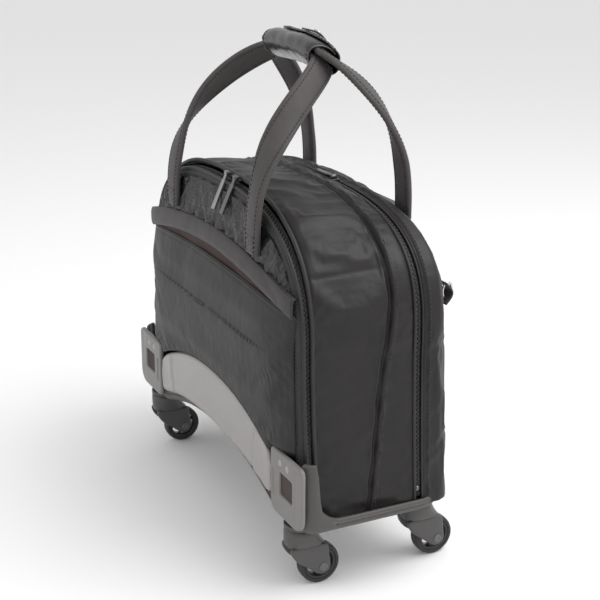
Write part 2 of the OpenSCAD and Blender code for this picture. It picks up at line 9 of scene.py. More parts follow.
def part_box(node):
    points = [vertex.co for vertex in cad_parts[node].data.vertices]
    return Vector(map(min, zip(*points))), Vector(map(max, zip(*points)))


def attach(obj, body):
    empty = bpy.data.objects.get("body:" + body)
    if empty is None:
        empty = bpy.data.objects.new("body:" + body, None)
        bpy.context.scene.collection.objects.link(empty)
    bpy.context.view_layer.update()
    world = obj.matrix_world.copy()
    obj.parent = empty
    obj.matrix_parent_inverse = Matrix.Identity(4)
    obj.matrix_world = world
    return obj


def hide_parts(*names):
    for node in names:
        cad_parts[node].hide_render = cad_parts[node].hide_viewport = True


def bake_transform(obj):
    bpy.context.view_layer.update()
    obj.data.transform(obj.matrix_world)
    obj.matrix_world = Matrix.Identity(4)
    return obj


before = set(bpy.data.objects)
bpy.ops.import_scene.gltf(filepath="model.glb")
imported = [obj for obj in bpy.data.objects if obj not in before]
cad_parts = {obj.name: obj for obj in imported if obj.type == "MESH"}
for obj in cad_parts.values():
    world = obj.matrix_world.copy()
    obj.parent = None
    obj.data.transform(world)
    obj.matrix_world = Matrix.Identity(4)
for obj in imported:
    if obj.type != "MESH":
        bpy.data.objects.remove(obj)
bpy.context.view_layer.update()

scene = bpy.context.scene
MM = 0.001

# ---- Camera, floor and light -------------------------------------------------
CAMERA_AT = (1.2205, -0.5906, 0.6931)
CAMERA_AZIMUTH = 63.68
CAMERA_PITCH = 18.73
CAMERA_ROLL = 0.29
CAMERA_LENS = 77.99


def add_camera():
    az, pitch, roll = (math.radians(v) for v in (CAMERA_AZIMUTH, CAMERA_PITCH, CAMERA_ROLL))
    ahead = Vector((-math.sin(az) * math.cos(pitch), math.cos(az) * math.cos(pitch), -math.sin(pitch)))
    right = Vector((math.cos(az), math.sin(az), 0))
    up = right.cross(ahead)
    turned_right = right * math.cos(roll) + up * math.sin(roll)
    turned_up = up * math.cos(roll) - right * math.sin(roll)
    data = bpy.data.cameras.new("camera")
    data.sensor_width = 36
    data.lens = CAMERA_LENS
    camera = bpy.data.objects.new("camera", data)
    camera.matrix_world = Matrix((turned_right, turned_up, -ahead)).transposed().to_4x4()
    camera.location = CAMERA_AT
    scene.collection.objects.link(camera)
    scene.camera = camera


def add_light(name, place, aim, size, power):
    data = bpy.data.lights.new(name, "AREA")
    data.shape = "RECTANGLE"
    data.size, data.size_y = size
    data.energy = power
    light = bpy.data.objects.new(name, data)
    light.location = place
    light.rotation_euler = (Vector(aim) - Vector(place)).to_track_quat("-Z", "Y").to_euler()
    scene.collection.objects.link(light)


def add_studio():
    mesh = bpy.data.meshes.new("floor")
    half = 6.0
    corners = [(-half, -half, 0), (half, -half, 0), (half, half, 0), (-half, half, 0)]
    mesh.from_pydata(corners, [], [(0, 1, 2, 3)])
    floor = bpy.data.objects.new("floor", mesh)
    scene.collection.objects.link(floor)
    material = bpy.data.materials.new("floor_white")
    material.use_nodes = True
    shader = material.node_tree.nodes["Principled BSDF"]
    shader.inputs["Base Color"].default_value = (0.93, 0.93, 0.93, 1)
    shader.inputs["Roughness"].default_value = 0.9
    shader.inputs["Specular IOR Level"].default_value = 0.1
    mesh.materials.append(material)
    world = bpy.data.worlds.new("studio")
    world.use_nodes = True
    world.node_tree.nodes["Background"].inputs["Color"].default_value = (1, 1, 1, 1)
    world.node_tree.nodes["Background"].inputs["Strength"].default_value = 0.8
    scene.world = world
    add_light("top_soft", (0.75, 0.75, 1.75), (0, 0, 0.2), (1.5, 1.2), 24)
    add_light("front_soft", (-0.7, -1.9, 0.9), (0, 0, 0.15), (1.2, 1.2), 5)
    add_light("end_soft", (2.2, 0.5, 0.9), (0.1, 0, 0.3), (0.8, 1.2), 3)
    scene.view_settings.view_transform = "Standard"


# ---- Materials ---------------------------------------------------------------
def new_material(name, colour, roughness, metallic=0.0, sheen=0.0, coat=0.0, specular=0.5):
    material = bpy.data.materials.new(name)
    material.use_nodes = True
    shader = material.node_tree.nodes["Principled BSDF"]
    shader.inputs["Base Color"].default_value = (*colour, 1)
    shader.inputs["Roughness"].default_value = roughness
    shader.inputs["Metallic"].default_value = metallic
    shader.inputs["Sheen Weight"].default_value = sheen
    shader.inputs["Sheen Roughness"].default_value = 0.4
    shader.inputs["Coat Weight"].default_value = coat
    shader.inputs["Coat Roughness"].default_value = 0.18
    shader.inputs["Specular IOR Level"].default_value = specular
    return material, material.node_tree, shader


def add_node(tree, kind, **settings):
    node = tree.nodes.new(kind)
    for key, value in settings.items():
        if key in node.inputs:
            node.inputs[key].default_value = value
        else:
            setattr(node, key, value)
    return node


def mottle(tree, shader, colour, scale, amount):
    """Soft colour variation, from a little darker to a little lighter than colour."""
    where = add_node(tree, "ShaderNodeTexCoord")
    noise = add_node(tree, "ShaderNodeTexNoise", Scale=scale, Detail=4.0, Roughness=0.6)
    ramp = add_node(tree, "ShaderNodeValToRGB")
    tree.links.new(where.outputs["Object"], noise.inputs["Vector"])
    tree.links.new(noise.outputs["Fac"], ramp.inputs["Fac"])
    ramp.color_ramp.elements[0].position = 0.3
    ramp.color_ramp.elements[1].position = 0.7
    ramp.color_ramp.elements[0].color = (*[c * (1 - amount) for c in colour], 1)
    ramp.color_ramp.elements[1].color = (*[c * (1 + amount) for c in colour], 1)
    tree.links.new(ramp.outputs["Color"], shader.inputs["Base Color"])
    return where


def rough_vary(tree, shader, where, scale, low, high):
    noise = add_node(tree, "ShaderNodeTexNoise", Scale=scale, Detail=3.0)
    span = add_node(tree, "ShaderNodeMapRange")
    span.inputs["To Min"].default_value = low
    span.inputs["To Max"].default_value = high
    tree.links.new(where.outputs["Object"], noise.inputs["Vector"])
    tree.links.new(noise.outputs["Fac"], span.inputs["Value"])
    tree.links.new(span.outputs["Result"], shader.inputs["Roughness"])


def bump(tree, shader, height, strength, distance):
    node = add_node(tree, "ShaderNodeBump", Strength=strength, Distance=distance)
    tree.links.new(height, node.inputs["Height"])
    last = shader.inputs["Normal"].links
    if last:
        tree.links.new(last[0].from_socket, node.inputs["Normal"])
    tree.links.new(node.outputs["Normal"], shader.inputs["Normal"])


def weave(tree, shader, where, pitch, strength):
    """Two crossed sets of threads, pitch metres apart."""
    threads = []
    for turn in (45.0, 135.0):
        place = add_node(tree, "ShaderNodeMapping")
        place.inputs["Rotation"].default_value = [math.radians(v) for v in (turn, turn * 0.7, turn)]
        wave = add_node(tree, "ShaderNodeTexWave", Scale=1 / pitch / 6.28, Distortion=0.6)
        wave.inputs["Detail Scale"].default_value = 3.0
        tree.links.new(where.outputs["Object"], place.inputs["Vector"])
        tree.links.new(place.outputs["Vector"], wave.inputs["Vector"])
        threads.append(wave.outputs["Fac"])
    both = add_node(tree, "ShaderNodeMath", operation="MULTIPLY")
    tree.links.new(threads[0], both.inputs[0])
    tree.links.new(threads[1], both.inputs[1])
    bump(tree, shader, both.outputs["Value"], strength, pitch * 0.3)


def grain(tree, shader, where, size, strength, detail=6.0):
    noise = add_node(tree, "ShaderNodeTexNoise", Scale=1 / size, Detail=detail, Roughness=0.6)
    tree.links.new(where.outputs["Object"], noise.inputs["Vector"])
    bump(tree, shader, noise.outputs["Fac"], strength, size * 0.4)


def fabric(name, colour, roughness, sheen, pitch=0.0007, specular=0.4, strength=0.22, vary=0.14):
    material, tree, shader = new_material(name, colour, roughness, sheen=sheen, specular=specular)
    where = mottle(tree, shader, colour, 38, vary)
    rough_vary(tree, shader, where, 22, roughness - 0.06, roughness + 0.08)
    grain(tree, shader, where, 0.02, 0.10, 2.0)
    weave(tree, shader, where, pitch, strength)
    return material


def plastic(name, colour, roughness, size=0.0012, strength=0.25, vary=0.06):
    material, tree, shader = new_material(name, colour, roughness)
    where = mottle(tree, shader, colour, 14, vary)
    rough_vary(tree, shader, where, 30, roughness - 0.05, roughness + 0.08)
    grain(tree, shader, where, size, strength, 3.0)
    return material


def metal(name, colour, roughness, brushed=False):
    material, tree, shader = new_material(name, colour, roughness, metallic=1.0)
    where = mottle(tree, shader, colour, 60, 0.06)
    rough_vary(tree, shader, where, 90, roughness - 0.04, roughness + 0.06)
    if brushed:
        place = add_node(tree, "ShaderNodeMapping")
        place.inputs["Scale"].default_value = (900, 900, 14)
        noise = add_node(tree, "ShaderNodeTexNoise", Scale=1.0, Detail=2.0)
        tree.links.new(where.outputs["Object"], place.inputs["Vector"])
        tree.links.new(place.outputs["Vector"], noise.inputs["Vector"])
        bump(tree, shader, noise.outputs["Fac"], 0.08, 0.0002)
    return material


def leather(name, colour):
    material, tree, shader = new_material(name, colour, 0.3, coat=0.5, specular=0.6)
    where = mottle(tree, shader, colour, 50, 0.25)
    rough_vary(tree, shader, where, 70, 0.26, 0.42)
    cells = add_node(tree, "ShaderNodeTexVoronoi", Scale=900.0, feature="DISTANCE_TO_EDGE")
    tree.links.new(where.outputs["Object"], cells.inputs["Vector"])
    bump(tree, shader, cells.outputs["Distance"], 0.25, 0.0004)
    grain(tree, shader, where, 0.012, 0.3, 3.0)
    return material


def satin_paint(name, colour):
    material, tree, shader = new_material(name, colour, 0.42, metallic=0.35, coat=0.1)
    where = mottle(tree, shader, colour, 9, 0.04)
    rough_vary(tree, shader, where, 26, 0.36, 0.5)
    grain(tree, shader, where, 0.0007, 0.12, 2.0)
    return material


MATERIALS = {
    "case_fabric": fabric("case_fabric", (0.0085, 0.0068, 0.0066), 0.5, 0.035),
    "quilted_fabric": fabric("quilted_fabric", (0.0075, 0.007, 0.0078), 0.36, 0.03, specular=0.5),
    "strap_fabric": fabric("strap_fabric", (0.058, 0.051, 0.051), 0.62, 0.12, strength=0.6),
    "welt_fabric": fabric("welt_fabric", (0.027, 0.023, 0.023), 0.52, 0.07),
    "zip_tape": fabric("zip_tape", (0.02, 0.021, 0.02), 0.58, 0.05, pitch=0.0012, strength=0.8),
    "piping": fabric("piping", (0.019, 0.0172, 0.0168), 0.48, 0.06),
    "lining": fabric("lining", (0.030, 0.0105, 0.010), 0.7, 0.08),
    "stitch_thread": fabric("stitch_thread", (0.030, 0.028, 0.028), 0.6, 0.1, pitch=0.0004),
    "black_leather": leather("black_leather", (0.006, 0.006, 0.007)),
    "moulded_plastic": plastic("moulded_plastic", (0.064, 0.059, 0.057), 0.46),
    "satin_plate": satin_paint("satin_plate", (0.33, 0.315, 0.308)),
    "guard_plate": plastic("guard_plate", (0.18, 0.17, 0.165), 0.4, strength=0.15),
    "dark_plastic": plastic("dark_plastic", (0.030, 0.030, 0.030), 0.38),
    "insert": plastic("insert", (0.045, 0.030, 0.028), 0.6),
    "tyre": plastic("tyre", (0.018, 0.018, 0.018), 0.55, size=0.0008, strength=0.4),
    "tube_metal": metal("tube_metal", (0.55, 0.55, 0.56), 0.32, brushed=True),
    "bright_metal": metal("bright_metal", (0.62, 0.62, 0.62), 0.22),
    "dark_metal": metal("dark_metal", (0.16, 0.16, 0.165), 0.35),
    "dark_plastic_soft": plastic("dark_plastic_soft", (0.062, 0.059, 0.058), 0.42, strength=0.2),
    "rim_plastic": plastic("rim_plastic", (0.035, 0.034, 0.034), 0.32, strength=0.1),
    "pull_metal": metal("pull_metal", (0.34, 0.33, 0.33), 0.36),
    "lining_dark": fabric("lining_dark", (0.050, 0.046, 0.047), 0.6, 0.25, pitch=0.001),
}


# ---- Making pieces ------------------------------------------------------------
def add_piece(name, shape, body, material, replaces=()):
    """A piece from its shape, which is (points, faces) in millimetres."""
    points, faces = np.asarray(shape[0]) * MM, shape[1]
    mesh = bpy.data.meshes.new(name)
    mesh.from_pydata([tuple(p) for p in points], [], [tuple(int(i) for i in f) for f in faces])
    mesh.validate()
    tool = bmesh.new()
    tool.from_mesh(mesh)
    bmesh.ops.recalc_face_normals(tool, faces=tool.faces)
    tool.to_mesh(mesh)
    tool.free()
    piece = bpy.data.objects.new(name, mesh)
    scene.collection.objects.link(piece)
    return dress(piece, body, material, replaces)


def dress(piece, body, material, replaces=(), smooth=True):
    piece.data.materials.clear()
    piece.data.materials.append(MATERIALS[material])
    if smooth:
        piece.data.shade_smooth()
    if body:
        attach(piece, body)
    if replaces:
        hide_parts(*replaces)
    return piece


def apply_modifiers(piece):
    graph = bpy.context.evaluated_depsgraph_get()
    graph.update()
    done = bpy.data.meshes.new_from_object(piece.evaluated_get(graph))
    piece.modifiers.clear()
    old = piece.data
    name = old.name
    piece.data = done
    bpy.data.meshes.remove(old)
    piece.data.name = name
    return piece


def grid_faces(rows, cols, wrap_rows=False, wrap_cols=False):
    faces = []
    for i in range(rows if wrap_rows else rows - 1):
        for j in range(cols if wrap_cols else cols - 1):
            a, b = i * cols, ((i + 1) % rows) * cols
            k = (j + 1) % cols
            faces.append((a + j, a + k, b + k, b + j))
    return faces


def loft(rings, closed=False):
    """Points and faces of a solid through rings of the same length."""
    rows, cols = len(rings), len(rings[0])
    points = np.concatenate(rings)
    faces = grid_faces(rows, cols, wrap_rows=closed, wrap_cols=True)
    if not closed:
        faces.append(tuple(range(cols)))
        faces.append(tuple(range((rows - 1) * cols, rows * cols))[::-1])
    return points, faces


def unit(vectors):
    return vectors / np.linalg.norm(vectors, axis=-1, keepdims=True)


def run_of(path):
    """Distance along a path at each of its points."""
    return np.concatenate([[0], np.cumsum(np.linalg.norm(np.diff(path, axis=0), axis=1))])


def along_run(at, run, path):
    """Points of a path at the distances in at."""
    return np.stack([np.interp(at, run, path[:, k]) for k in range(path.shape[1])], axis=1)


def ridge(value, middle, width):
    """A smooth bump, 1 high where value is middle."""
    return np.exp(-((value - middle) / width) ** 2)


def frames_along(path, up):
    """A side and an up direction at each point of a path."""
    path = np.asarray(path, float)
    along = unit(np.gradient(path, axis=0))
    ups = np.broadcast_to(np.asarray(up, float), path.shape)
    side = unit(np.cross(along, ups))
    return along, side, np.cross(side, along)


def tube(path, radius, up=(0, 1, 0), sides=10):
    path = np.asarray(path, float)
    _, side, upward = frames_along(path, up)
    turn = np.linspace(0, 2 * np.pi, sides, endpoint=False)
    radius = np.broadcast_to(radius, len(path))
    rings = [p + r * (np.cos(turn)[:, None] * s + np.sin(turn)[:, None] * u)
             for p, s, u, r in zip(path, side, upward, radius)]
    return loft(rings)


def bead_row(places, alongs, ups, size):
    """Small rounded beads, such as stitches or zip teeth: one at each place."""
    corner = np.array([(-1, -0.7, -0.7), (-1, 0.7, -0.7), (-1, 0.7, 0.7), (-1, -0.7, 0.7),
                       (-0.4, -1, -1), (-0.4, 1, -1), (-0.4, 1, 1), (-0.4, -1, 1),
                       (0.4, -1, -1), (0.4, 1, -1), (0.4, 1, 1), (0.4, -1, 1),
                       (1, -0.7, -0.7), (1, 0.7, -0.7), (1, 0.7, 0.7), (1, -0.7, 0.7)]) * np.asarray(size) / 2
    unit_faces = grid_faces(4, 4, wrap_cols=True) + [(0, 1, 2, 3), (15, 14, 13, 12)]
    points, faces = [], []
    for p, a, u in zip(places, alongs, ups):
        a = unit(a)
        s = unit(np.cross(a, u))
        u = np.cross(s, a)
        base = len(points) * 16
        points.append(p + corner[:, :1] * a + corner[:, 1:2] * s + corner[:, 2:] * u)
        faces += [tuple(base + i for i in f) for f in unit_faces]
    return np.concatenate(points), faces


def resample(path, step):
    path = np.asarray(path, float)
    run = run_of(path)
    count = max(2, int(run[-1] / step))
    return along_run(np.linspace(0, run[-1], count), run, path)


def join(parts):
    """One mesh from several (points, faces)."""
    points, faces, base = [], [], 0
    for p, f in parts:
        points.append(np.asarray(p, float))
        faces += [tuple(base + i for i in face) for face in f]
        base += len(p)
    return np.concatenate(points), faces


def soften(node, body, material, width, segments=2):
    """A copy of a CAD node with its sharp edges rounded, which stands for the node."""
    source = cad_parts[node]
    piece = bpy.data.objects.new(node + "_finish", source.data.copy())
    scene.collection.objects.link(piece)
    tool = bmesh.new()
    tool.from_mesh(piece.data)
    bmesh.ops.remove_doubles(tool, verts=tool.verts, dist=1e-6)
    bmesh.ops.dissolve_limit(tool, angle_limit=math.radians(2), verts=tool.verts, edges=tool.edges)
    tool.to_mesh(piece.data)
    tool.free()
    rounding = piece.modifiers.new("round", "BEVEL")
    rounding.width = width
    rounding.segments = segments
    rounding.limit_method = "ANGLE"
    rounding.angle_limit = math.radians(35)
    rounding.use_clamp_overlap = True
    rounding.harden_normals = False
    apply_modifiers(piece)
    if "custom_normal" in piece.data.attributes:
        piece.data.attributes.remove(piece.data.attributes["custom_normal"])
    piece.data.set_sharp_from_angle(angle=math.radians(38))
    dress(piece, body, material, (node,), smooth=False)
    for face in piece.data.polygons:
        face.use_smooth = True
    return piece


# ---- Shape of the case, in millimetres ------------------------------------------
SPRING_Z = 240
GUSSET_Z = 82
FLARE = 13
FLARE_FADE = 0.24
FRONT_HALF = 197.5
FLOOR_HALF = 152
BASE_Z = 71
BASE_RISE = 30
OUT_FRONT = np.array([0, -1.0, 0])


def signed_power(c, n):
    return np.sign(c) * np.abs(c) ** (2 / n)


def smooth_step(v, low, high):
    u = np.clip((v - low) / (high - low), 0, 1)
    return u * u * (3 - 2 * u)


def flare_at(z, half=FRONT_HALF):
    below = np.clip(SPRING_Z - z, 0, None) / (SPRING_Z - GUSSET_Z)
    return (FLARE - FLARE_FADE * (half - FRONT_HALF)) * below ** 1.4


def arch(half, top, n, low, count):
    """x and z along one station's outline, from its right foot over the top to its left foot."""
    z = np.linspace(low, SPRING_Z, 24, endpoint=False)
    a = np.linspace(0, np.pi, 241)
    x = half + flare_at(z, half)
    over_x = half * signed_power(np.cos(a), n)
    over_z = SPRING_Z + (top - SPRING_Z) * signed_power(np.sin(a), n)
    path = np.stack([np.concatenate([x, over_x, -x[::-1]]), np.concatenate([z, over_z, z[::-1]])], 1)
    run = run_of(path)
    return along_run(np.linspace(0, run[-1], count), run, path)


def arch_path(y, half, top, n, low, count):
    xz = arch(half, top, n, low, count)
    return np.stack([xz[:, 0], np.full(count, float(y)), xz[:, 1]], 1)


def arch_grid(ys, halves, tops, ns, low, cols):
    return np.stack([arch_path(y, h, t, n, low, cols) for y, h, t, n in zip(ys, halves, tops, ns)])


def outward(grid):
    """Unit normal at each point of a grid whose rows go back and whose columns go over the arch."""
    down = np.gradient(grid, axis=0)
    across = np.gradient(grid, axis=1)
    normal = np.cross(down, across)
    return normal / np.maximum(np.linalg.norm(normal, axis=2, keepdims=True), 1e-9)


def waves(grid, size, seed):
    """Slow uneven swelling, between -1 and 1, with features about size millimetres across."""
    generator = np.random.default_rng(seed)
    total = np.zeros(grid.shape[:2])
    for _ in range(9):
        way = generator.normal(size=3)
        way /= np.linalg.norm(way)
        length = size * generator.uniform(0.7, 1.6)
        total += np.sin(grid @ way * 2 * np.pi / length + generator.uniform(0, 6.28))
    return total / 4.5


def upsample(field, rows, cols):
    """A coarse field on a finer grid, smoothly."""
    r0, c0 = field.shape[:2]
    along = np.linspace(0, 1, cols)
    first = np.stack([[np.interp(along, np.linspace(0, 1, c0), field[i, :, k]) for k in range(3)]
                      for i in range(r0)])
    first = first.transpose(0, 2, 1)
    down = np.linspace(0, 1, rows)
    return np.stack([[np.interp(down, np.linspace(0, 1, r0), first[:, j, k]) for k in range(3)]
                     for j in range(cols)]).transpose(2, 0, 1)


FRAMES = 20


def simulate(cloths):
    """Blows each cloth out between its held points; gives how far each point moves, in millimetres."""
    made = {}
    for name, cloth in cloths.items():
        grid = cloth["grid"]
        rows, cols = grid.shape[:2]
        mesh = bpy.data.meshes.new(name + "_sim")
        mesh.from_pydata([tuple(p * MM) for p in grid.reshape(-1, 3)], [], grid_faces(rows, cols))
        if cloth.get("flip"):
            mesh.flip_normals()
        piece = bpy.data.objects.new(name + "_sim", mesh)
        scene.collection.objects.link(piece)
        held = piece.vertex_groups.new(name="held")
        held.add([int(i) for i in np.flatnonzero(cloth["held"].ravel())], 1.0, "REPLACE")
        settings = piece.modifiers.new("cloth", "CLOTH")
        settings.point_cache.frame_start = 1
        settings.point_cache.frame_end = FRAMES
        cloth_settings = settings.settings
        cloth_settings.quality = 6
        cloth_settings.mass = 0.2
        cloth_settings.tension_stiffness = 14
        cloth_settings.compression_stiffness = 14
        cloth_settings.shear_stiffness = 6
        cloth_settings.bending_stiffness = cloth.get("bend", 0.4)
        cloth_settings.use_pressure = True
        cloth_settings.uniform_pressure_force = cloth.get("pressure", 4.0)
        cloth_settings.shrink_min = -cloth.get("slack", 0.015)
        cloth_settings.vertex_group_mass = "held"
        cloth_settings.effector_weights.gravity = 0
        settings.collision_settings.use_collision = False
        made[name] = piece
    for step in range(1, FRAMES + 1):
        scene.frame_set(step)
    moves = {}
    for name, cloth in cloths.items():
        piece = made[name]
        graph = bpy.context.evaluated_depsgraph_get()
        done = piece.evaluated_get(graph).to_mesh()
        flat = np.empty(len(done.vertices) * 3)
        done.vertices.foreach_get("co", flat)
        move = flat.reshape(cloth["grid"].shape) / MM - cloth["grid"]
        reach = np.linalg.norm(move, axis=2, keepdims=True)
        cap = cloth.get("cap", 6.0)
        moves[name] = move * np.minimum(1, cap * np.tanh(reach / cap) / np.maximum(reach, 1e-6))
        mesh = piece.data
        bpy.data.objects.remove(piece)
        bpy.data.meshes.remove(mesh)
    scene.frame_set(1)
    return moves


# Depth of the door's face, from how far in from its rim a point lies
DOOR_RIM = (195.5, 378.0, 2.7)
DOOR_TAPER_X, DOOR_TAPER_Z = 10, 36
DEPTH_IN = (0, 0.22, 0.5, 1, 1.6, 2.5, 4, 8)
DEPTH_Y = (-78, -81, -84, -87, -89.6, -92, -94, -95.2)


def door_in(x, z):
    half, top, n = DOOR_RIM
    low, high = np.zeros(np.shape(x)), np.full(np.shape(x), 12.0)
    for _ in range(26):
        mid = (low + high) / 2
        w = np.maximum(half - DOOR_TAPER_X * mid, 1)
        h = np.maximum(top - DOOR_TAPER_Z * mid - SPRING_Z, 1)
        level = (np.abs(x) / w) ** n + (np.clip(z - SPRING_Z, 0, None) / h) ** n
        inside = level < 1
        low, high = np.where(inside, mid, low), np.where(inside, high, mid)
    side = (half + flare_at(z) - np.abs(x)) / DOOR_TAPER_X
    below = np.minimum(np.clip(side, 0, 12), (top - z) / DOOR_TAPER_Z)
    return np.where(z < SPRING_Z, below, low)


def door_y(x, z):
    return np.interp(door_in(x, z), DEPTH_IN, DEPTH_Y)


POCKET_HALF = 185


def welt_low(x):
    return 309 - 24 * (np.asarray(x) / POCKET_HALF) ** 2


def pocket_mouth(x):
    return 296 - 11 * (np.asarray(x) / POCKET_HALF) ** 2


def gusset_seam_y(z):
    return np.interp(z, (79, 140, 200, 290, 370), (-17, -9, -3, 9, 11))


GUSSET_Y = (-69.6, -64, -20, 29, 33.6)


def gusset_station(y):
    def at(values):
        return np.mean([np.interp(np.clip(y + k, GUSSET_Y[0], GUSSET_Y[-1]), GUSSET_Y, values)
                        for k in (-6, -3, 0, 3, 6)], axis=0)
    return at((194.5, 197.5, 203.5, 210, 209)), at((384.5, 388, 381, 373, 371)), at((2.7, 2.7, 2.8, 3.1, 3.2))


def gusset_grid(rows, cols):
    ys = np.linspace(GUSSET_Y[0], GUSSET_Y[-1], rows)
    half, top, n = gusset_station(ys)
    return arch_grid(ys, half, top, n, GUSSET_Z - 4, cols)


REAR_Y = (42.4, 47, 60, 69, 75, 78)


def rear_grid(rows, cols):
    at = np.linspace(0, 1, rows)
    knots = (0, 0.13, 0.42, 0.66, 0.84, 1)
    ys = np.interp(at, knots, REAR_Y)
    halves = np.interp(at, knots, (210, 213.5, 214, 208.5, 199, 184))
    tops = np.interp(at, knots, (369.8, 371, 370, 361, 346, 328))
    kernel = np.ones(5) / 5
    if rows > 20:
        ys, halves, tops = (np.convolve(np.pad(v, 2, "edge"), kernel, "valid") for v in (ys, halves, tops))
    return arch_grid(ys, halves, tops, np.full(rows, 3.2), GUSSET_Z - 3, cols)


BACK_HALF, BACK_TOP, BACK_Y = 184.0, 328.0, 78.0


def back_grid(rows, cols):
    z = GUSSET_Z + (BACK_TOP - GUSSET_Z) * np.linspace(0, 1, rows) ** 0.8
    rise = np.clip((z - SPRING_Z) / (BACK_TOP - SPRING_Z), 0, 0.9999)
    half = BACK_HALF * (1 - rise ** 3) ** (1 / 3) + flare_at(z)
    u = np.linspace(1, -1, cols)
    return np.stack([half[:, None] * u, np.full((rows, cols), BACK_Y), np.repeat(z[:, None], cols, 1)], 2)


def hem_z(x):
    x = np.abs(x)
    middle = 168.5 - 37 * (np.clip(x, 0, FLOOR_HALF) / FLOOR_HALF) ** 2.2
    return middle - 15 * smooth_step(x, 148, 158)


def front_y(x, z):
    y = door_y(x, z)
    away = np.clip(1 - (x / POCKET_HALF) ** 2, 0, 1)
    y = y - 2.4 * away * smooth_step(z, 250, 292)
    tuck = smooth_step(np.abs(x), 147, 156) * smooth_step(-z, -150, -140)
    return y + tuck * 5.4


def front_grid(rows, cols):
    u = np.linspace(1, -1, cols)
    out = []
    for v in np.linspace(0, 1, rows):
        x = u * 188.0
        z = hem_z(x) + (pocket_mouth(x) - hem_z(x)) * v
        x = u * (188.2 + flare_at(z))
        out.append(np.stack([x, front_y(x, z), z], 1))
    return np.stack(out)


QUILT_W, QUILT_H = 27.0, 35.0


def quilt_grid(rows, cols):
    upper = arch(187.6, 369.0, 2.7, 300, 1200)
    upper = upper[upper[:, 1] > welt_low(upper[:, 0]) + 16]
    lower_x = np.linspace(upper[0, 0], upper[-1, 0], cols)
    run = run_of(upper)
    top = along_run(np.linspace(0, run[-1], cols), run, upper)
    low = np.stack([lower_x, welt_low(lower_x) + 16], 1)
    v = np.linspace(0, 1, rows)[:, None, None]
    xz = low[None] * (1 - v) + top[None] * v
    return np.stack([xz[..., 0], door_y(xz[..., 0], xz[..., 1]), xz[..., 1]], 2)


def quilt_lines(grid):
    a = grid[..., 0] / QUILT_W + grid[..., 2] / QUILT_H
    b = grid[..., 0] / QUILT_W - grid[..., 2] / QUILT_H
    return np.minimum(np.abs(a - np.round(a)), np.abs(b - np.round(b)))


def edges(grid, sides="tblr"):
    held = np.zeros(grid.shape[:2], bool)
    held[0] |= "b" in sides
    held[-1] |= "t" in sides
    held[:, 0] |= "r" in sides
    held[:, -1] |= "l" in sides
    return held


TROLLEY_HALF = 91


def soft_cloths():
    gusset = gusset_grid(24, 120)
    seam = np.abs(gusset[..., 1] - gusset_seam_y(gusset[..., 2])) < 2.4
    rear = rear_grid(12, 120)
    back = back_grid(30, 44)
    front = front_grid(24, 56)
    quilt = quilt_grid(24, 118)
    trolley = np.abs(back[..., 0]) < TROLLEY_HALF
    return {
        "gusset": {"grid": gusset, "held": edges(gusset) | seam, "pressure": 3.2, "slack": 0.012,
                   "cap": 5.0},
        "rear": {"grid": rear, "held": edges(rear), "pressure": 2.4, "slack": 0.01, "cap": 3.5},
        "back": {"grid": back, "held": edges(back) | trolley, "pressure": 2.4, "slack": 0.01, "cap": 4.0,
                 "flip": True},
        "front": {"grid": front, "held": edges(front, "blr"), "pressure": 1.6, "slack": 0.012, "cap": 3.5,
                  "flip": True},
        "quilt": {"grid": quilt, "held": edges(quilt) | (quilt_lines(quilt) < 0.09), "pressure": 6.0,
                  "slack": 0.05, "cap": 3.0, "bend": 0.15, "flip": True},
    }


MOVES = simulate(soft_cloths())


def skin(name, grid, normal, body, material, thickness, replaces=()):
    """A solid cloth from the grid of its outer face."""
    rows, cols = grid.shape[:2]
    inner = grid - normal * thickness
    points = np.concatenate([grid.reshape(-1, 3), inner.reshape(-1, 3)])
    base = rows * cols
    faces = grid_faces(rows, cols) + [tuple(base + i for i in f[::-1]) for f in grid_faces(rows, cols)]
    rim = ([i for i in range(cols)] + [i * cols + cols - 1 for i in range(1, rows)]
           + [(rows - 1) * cols + j for j in range(cols - 2, -1, -1)]
           + [i * cols for i in range(rows - 2, 0, -1)])
    faces += [(a, base + a, base + b, b) for a, b in zip(rim, rim[1:] + rim[:1])]
    return add_piece(name, (points, faces), body, material, replaces)


def stitch_row(path, normals, body, name, pitch=4.2, size=(2.6, 0.9, 0.7), lift=0.2):
    """A row of separate stitches lying along a path."""
    both = np.concatenate([np.asarray(path, float), np.asarray(normals, float)], 1)
    dense = resample(both[:, :3], pitch)
    run = run_of(path)
    up = along_run(np.linspace(0, run[-1], len(dense)), run, both[:, 3:])
    along = np.gradient(dense, axis=0)
    points, faces = bead_row(dense + up * lift, along, up, size)
    if name is None:
        return points, faces
    return add_piece(name, (points, faces), body, "stitch_thread")


def bend(piece):
    """Bakes the transform of fabric that crosses the door's fold into its mesh."""
    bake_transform(piece)
    return piece


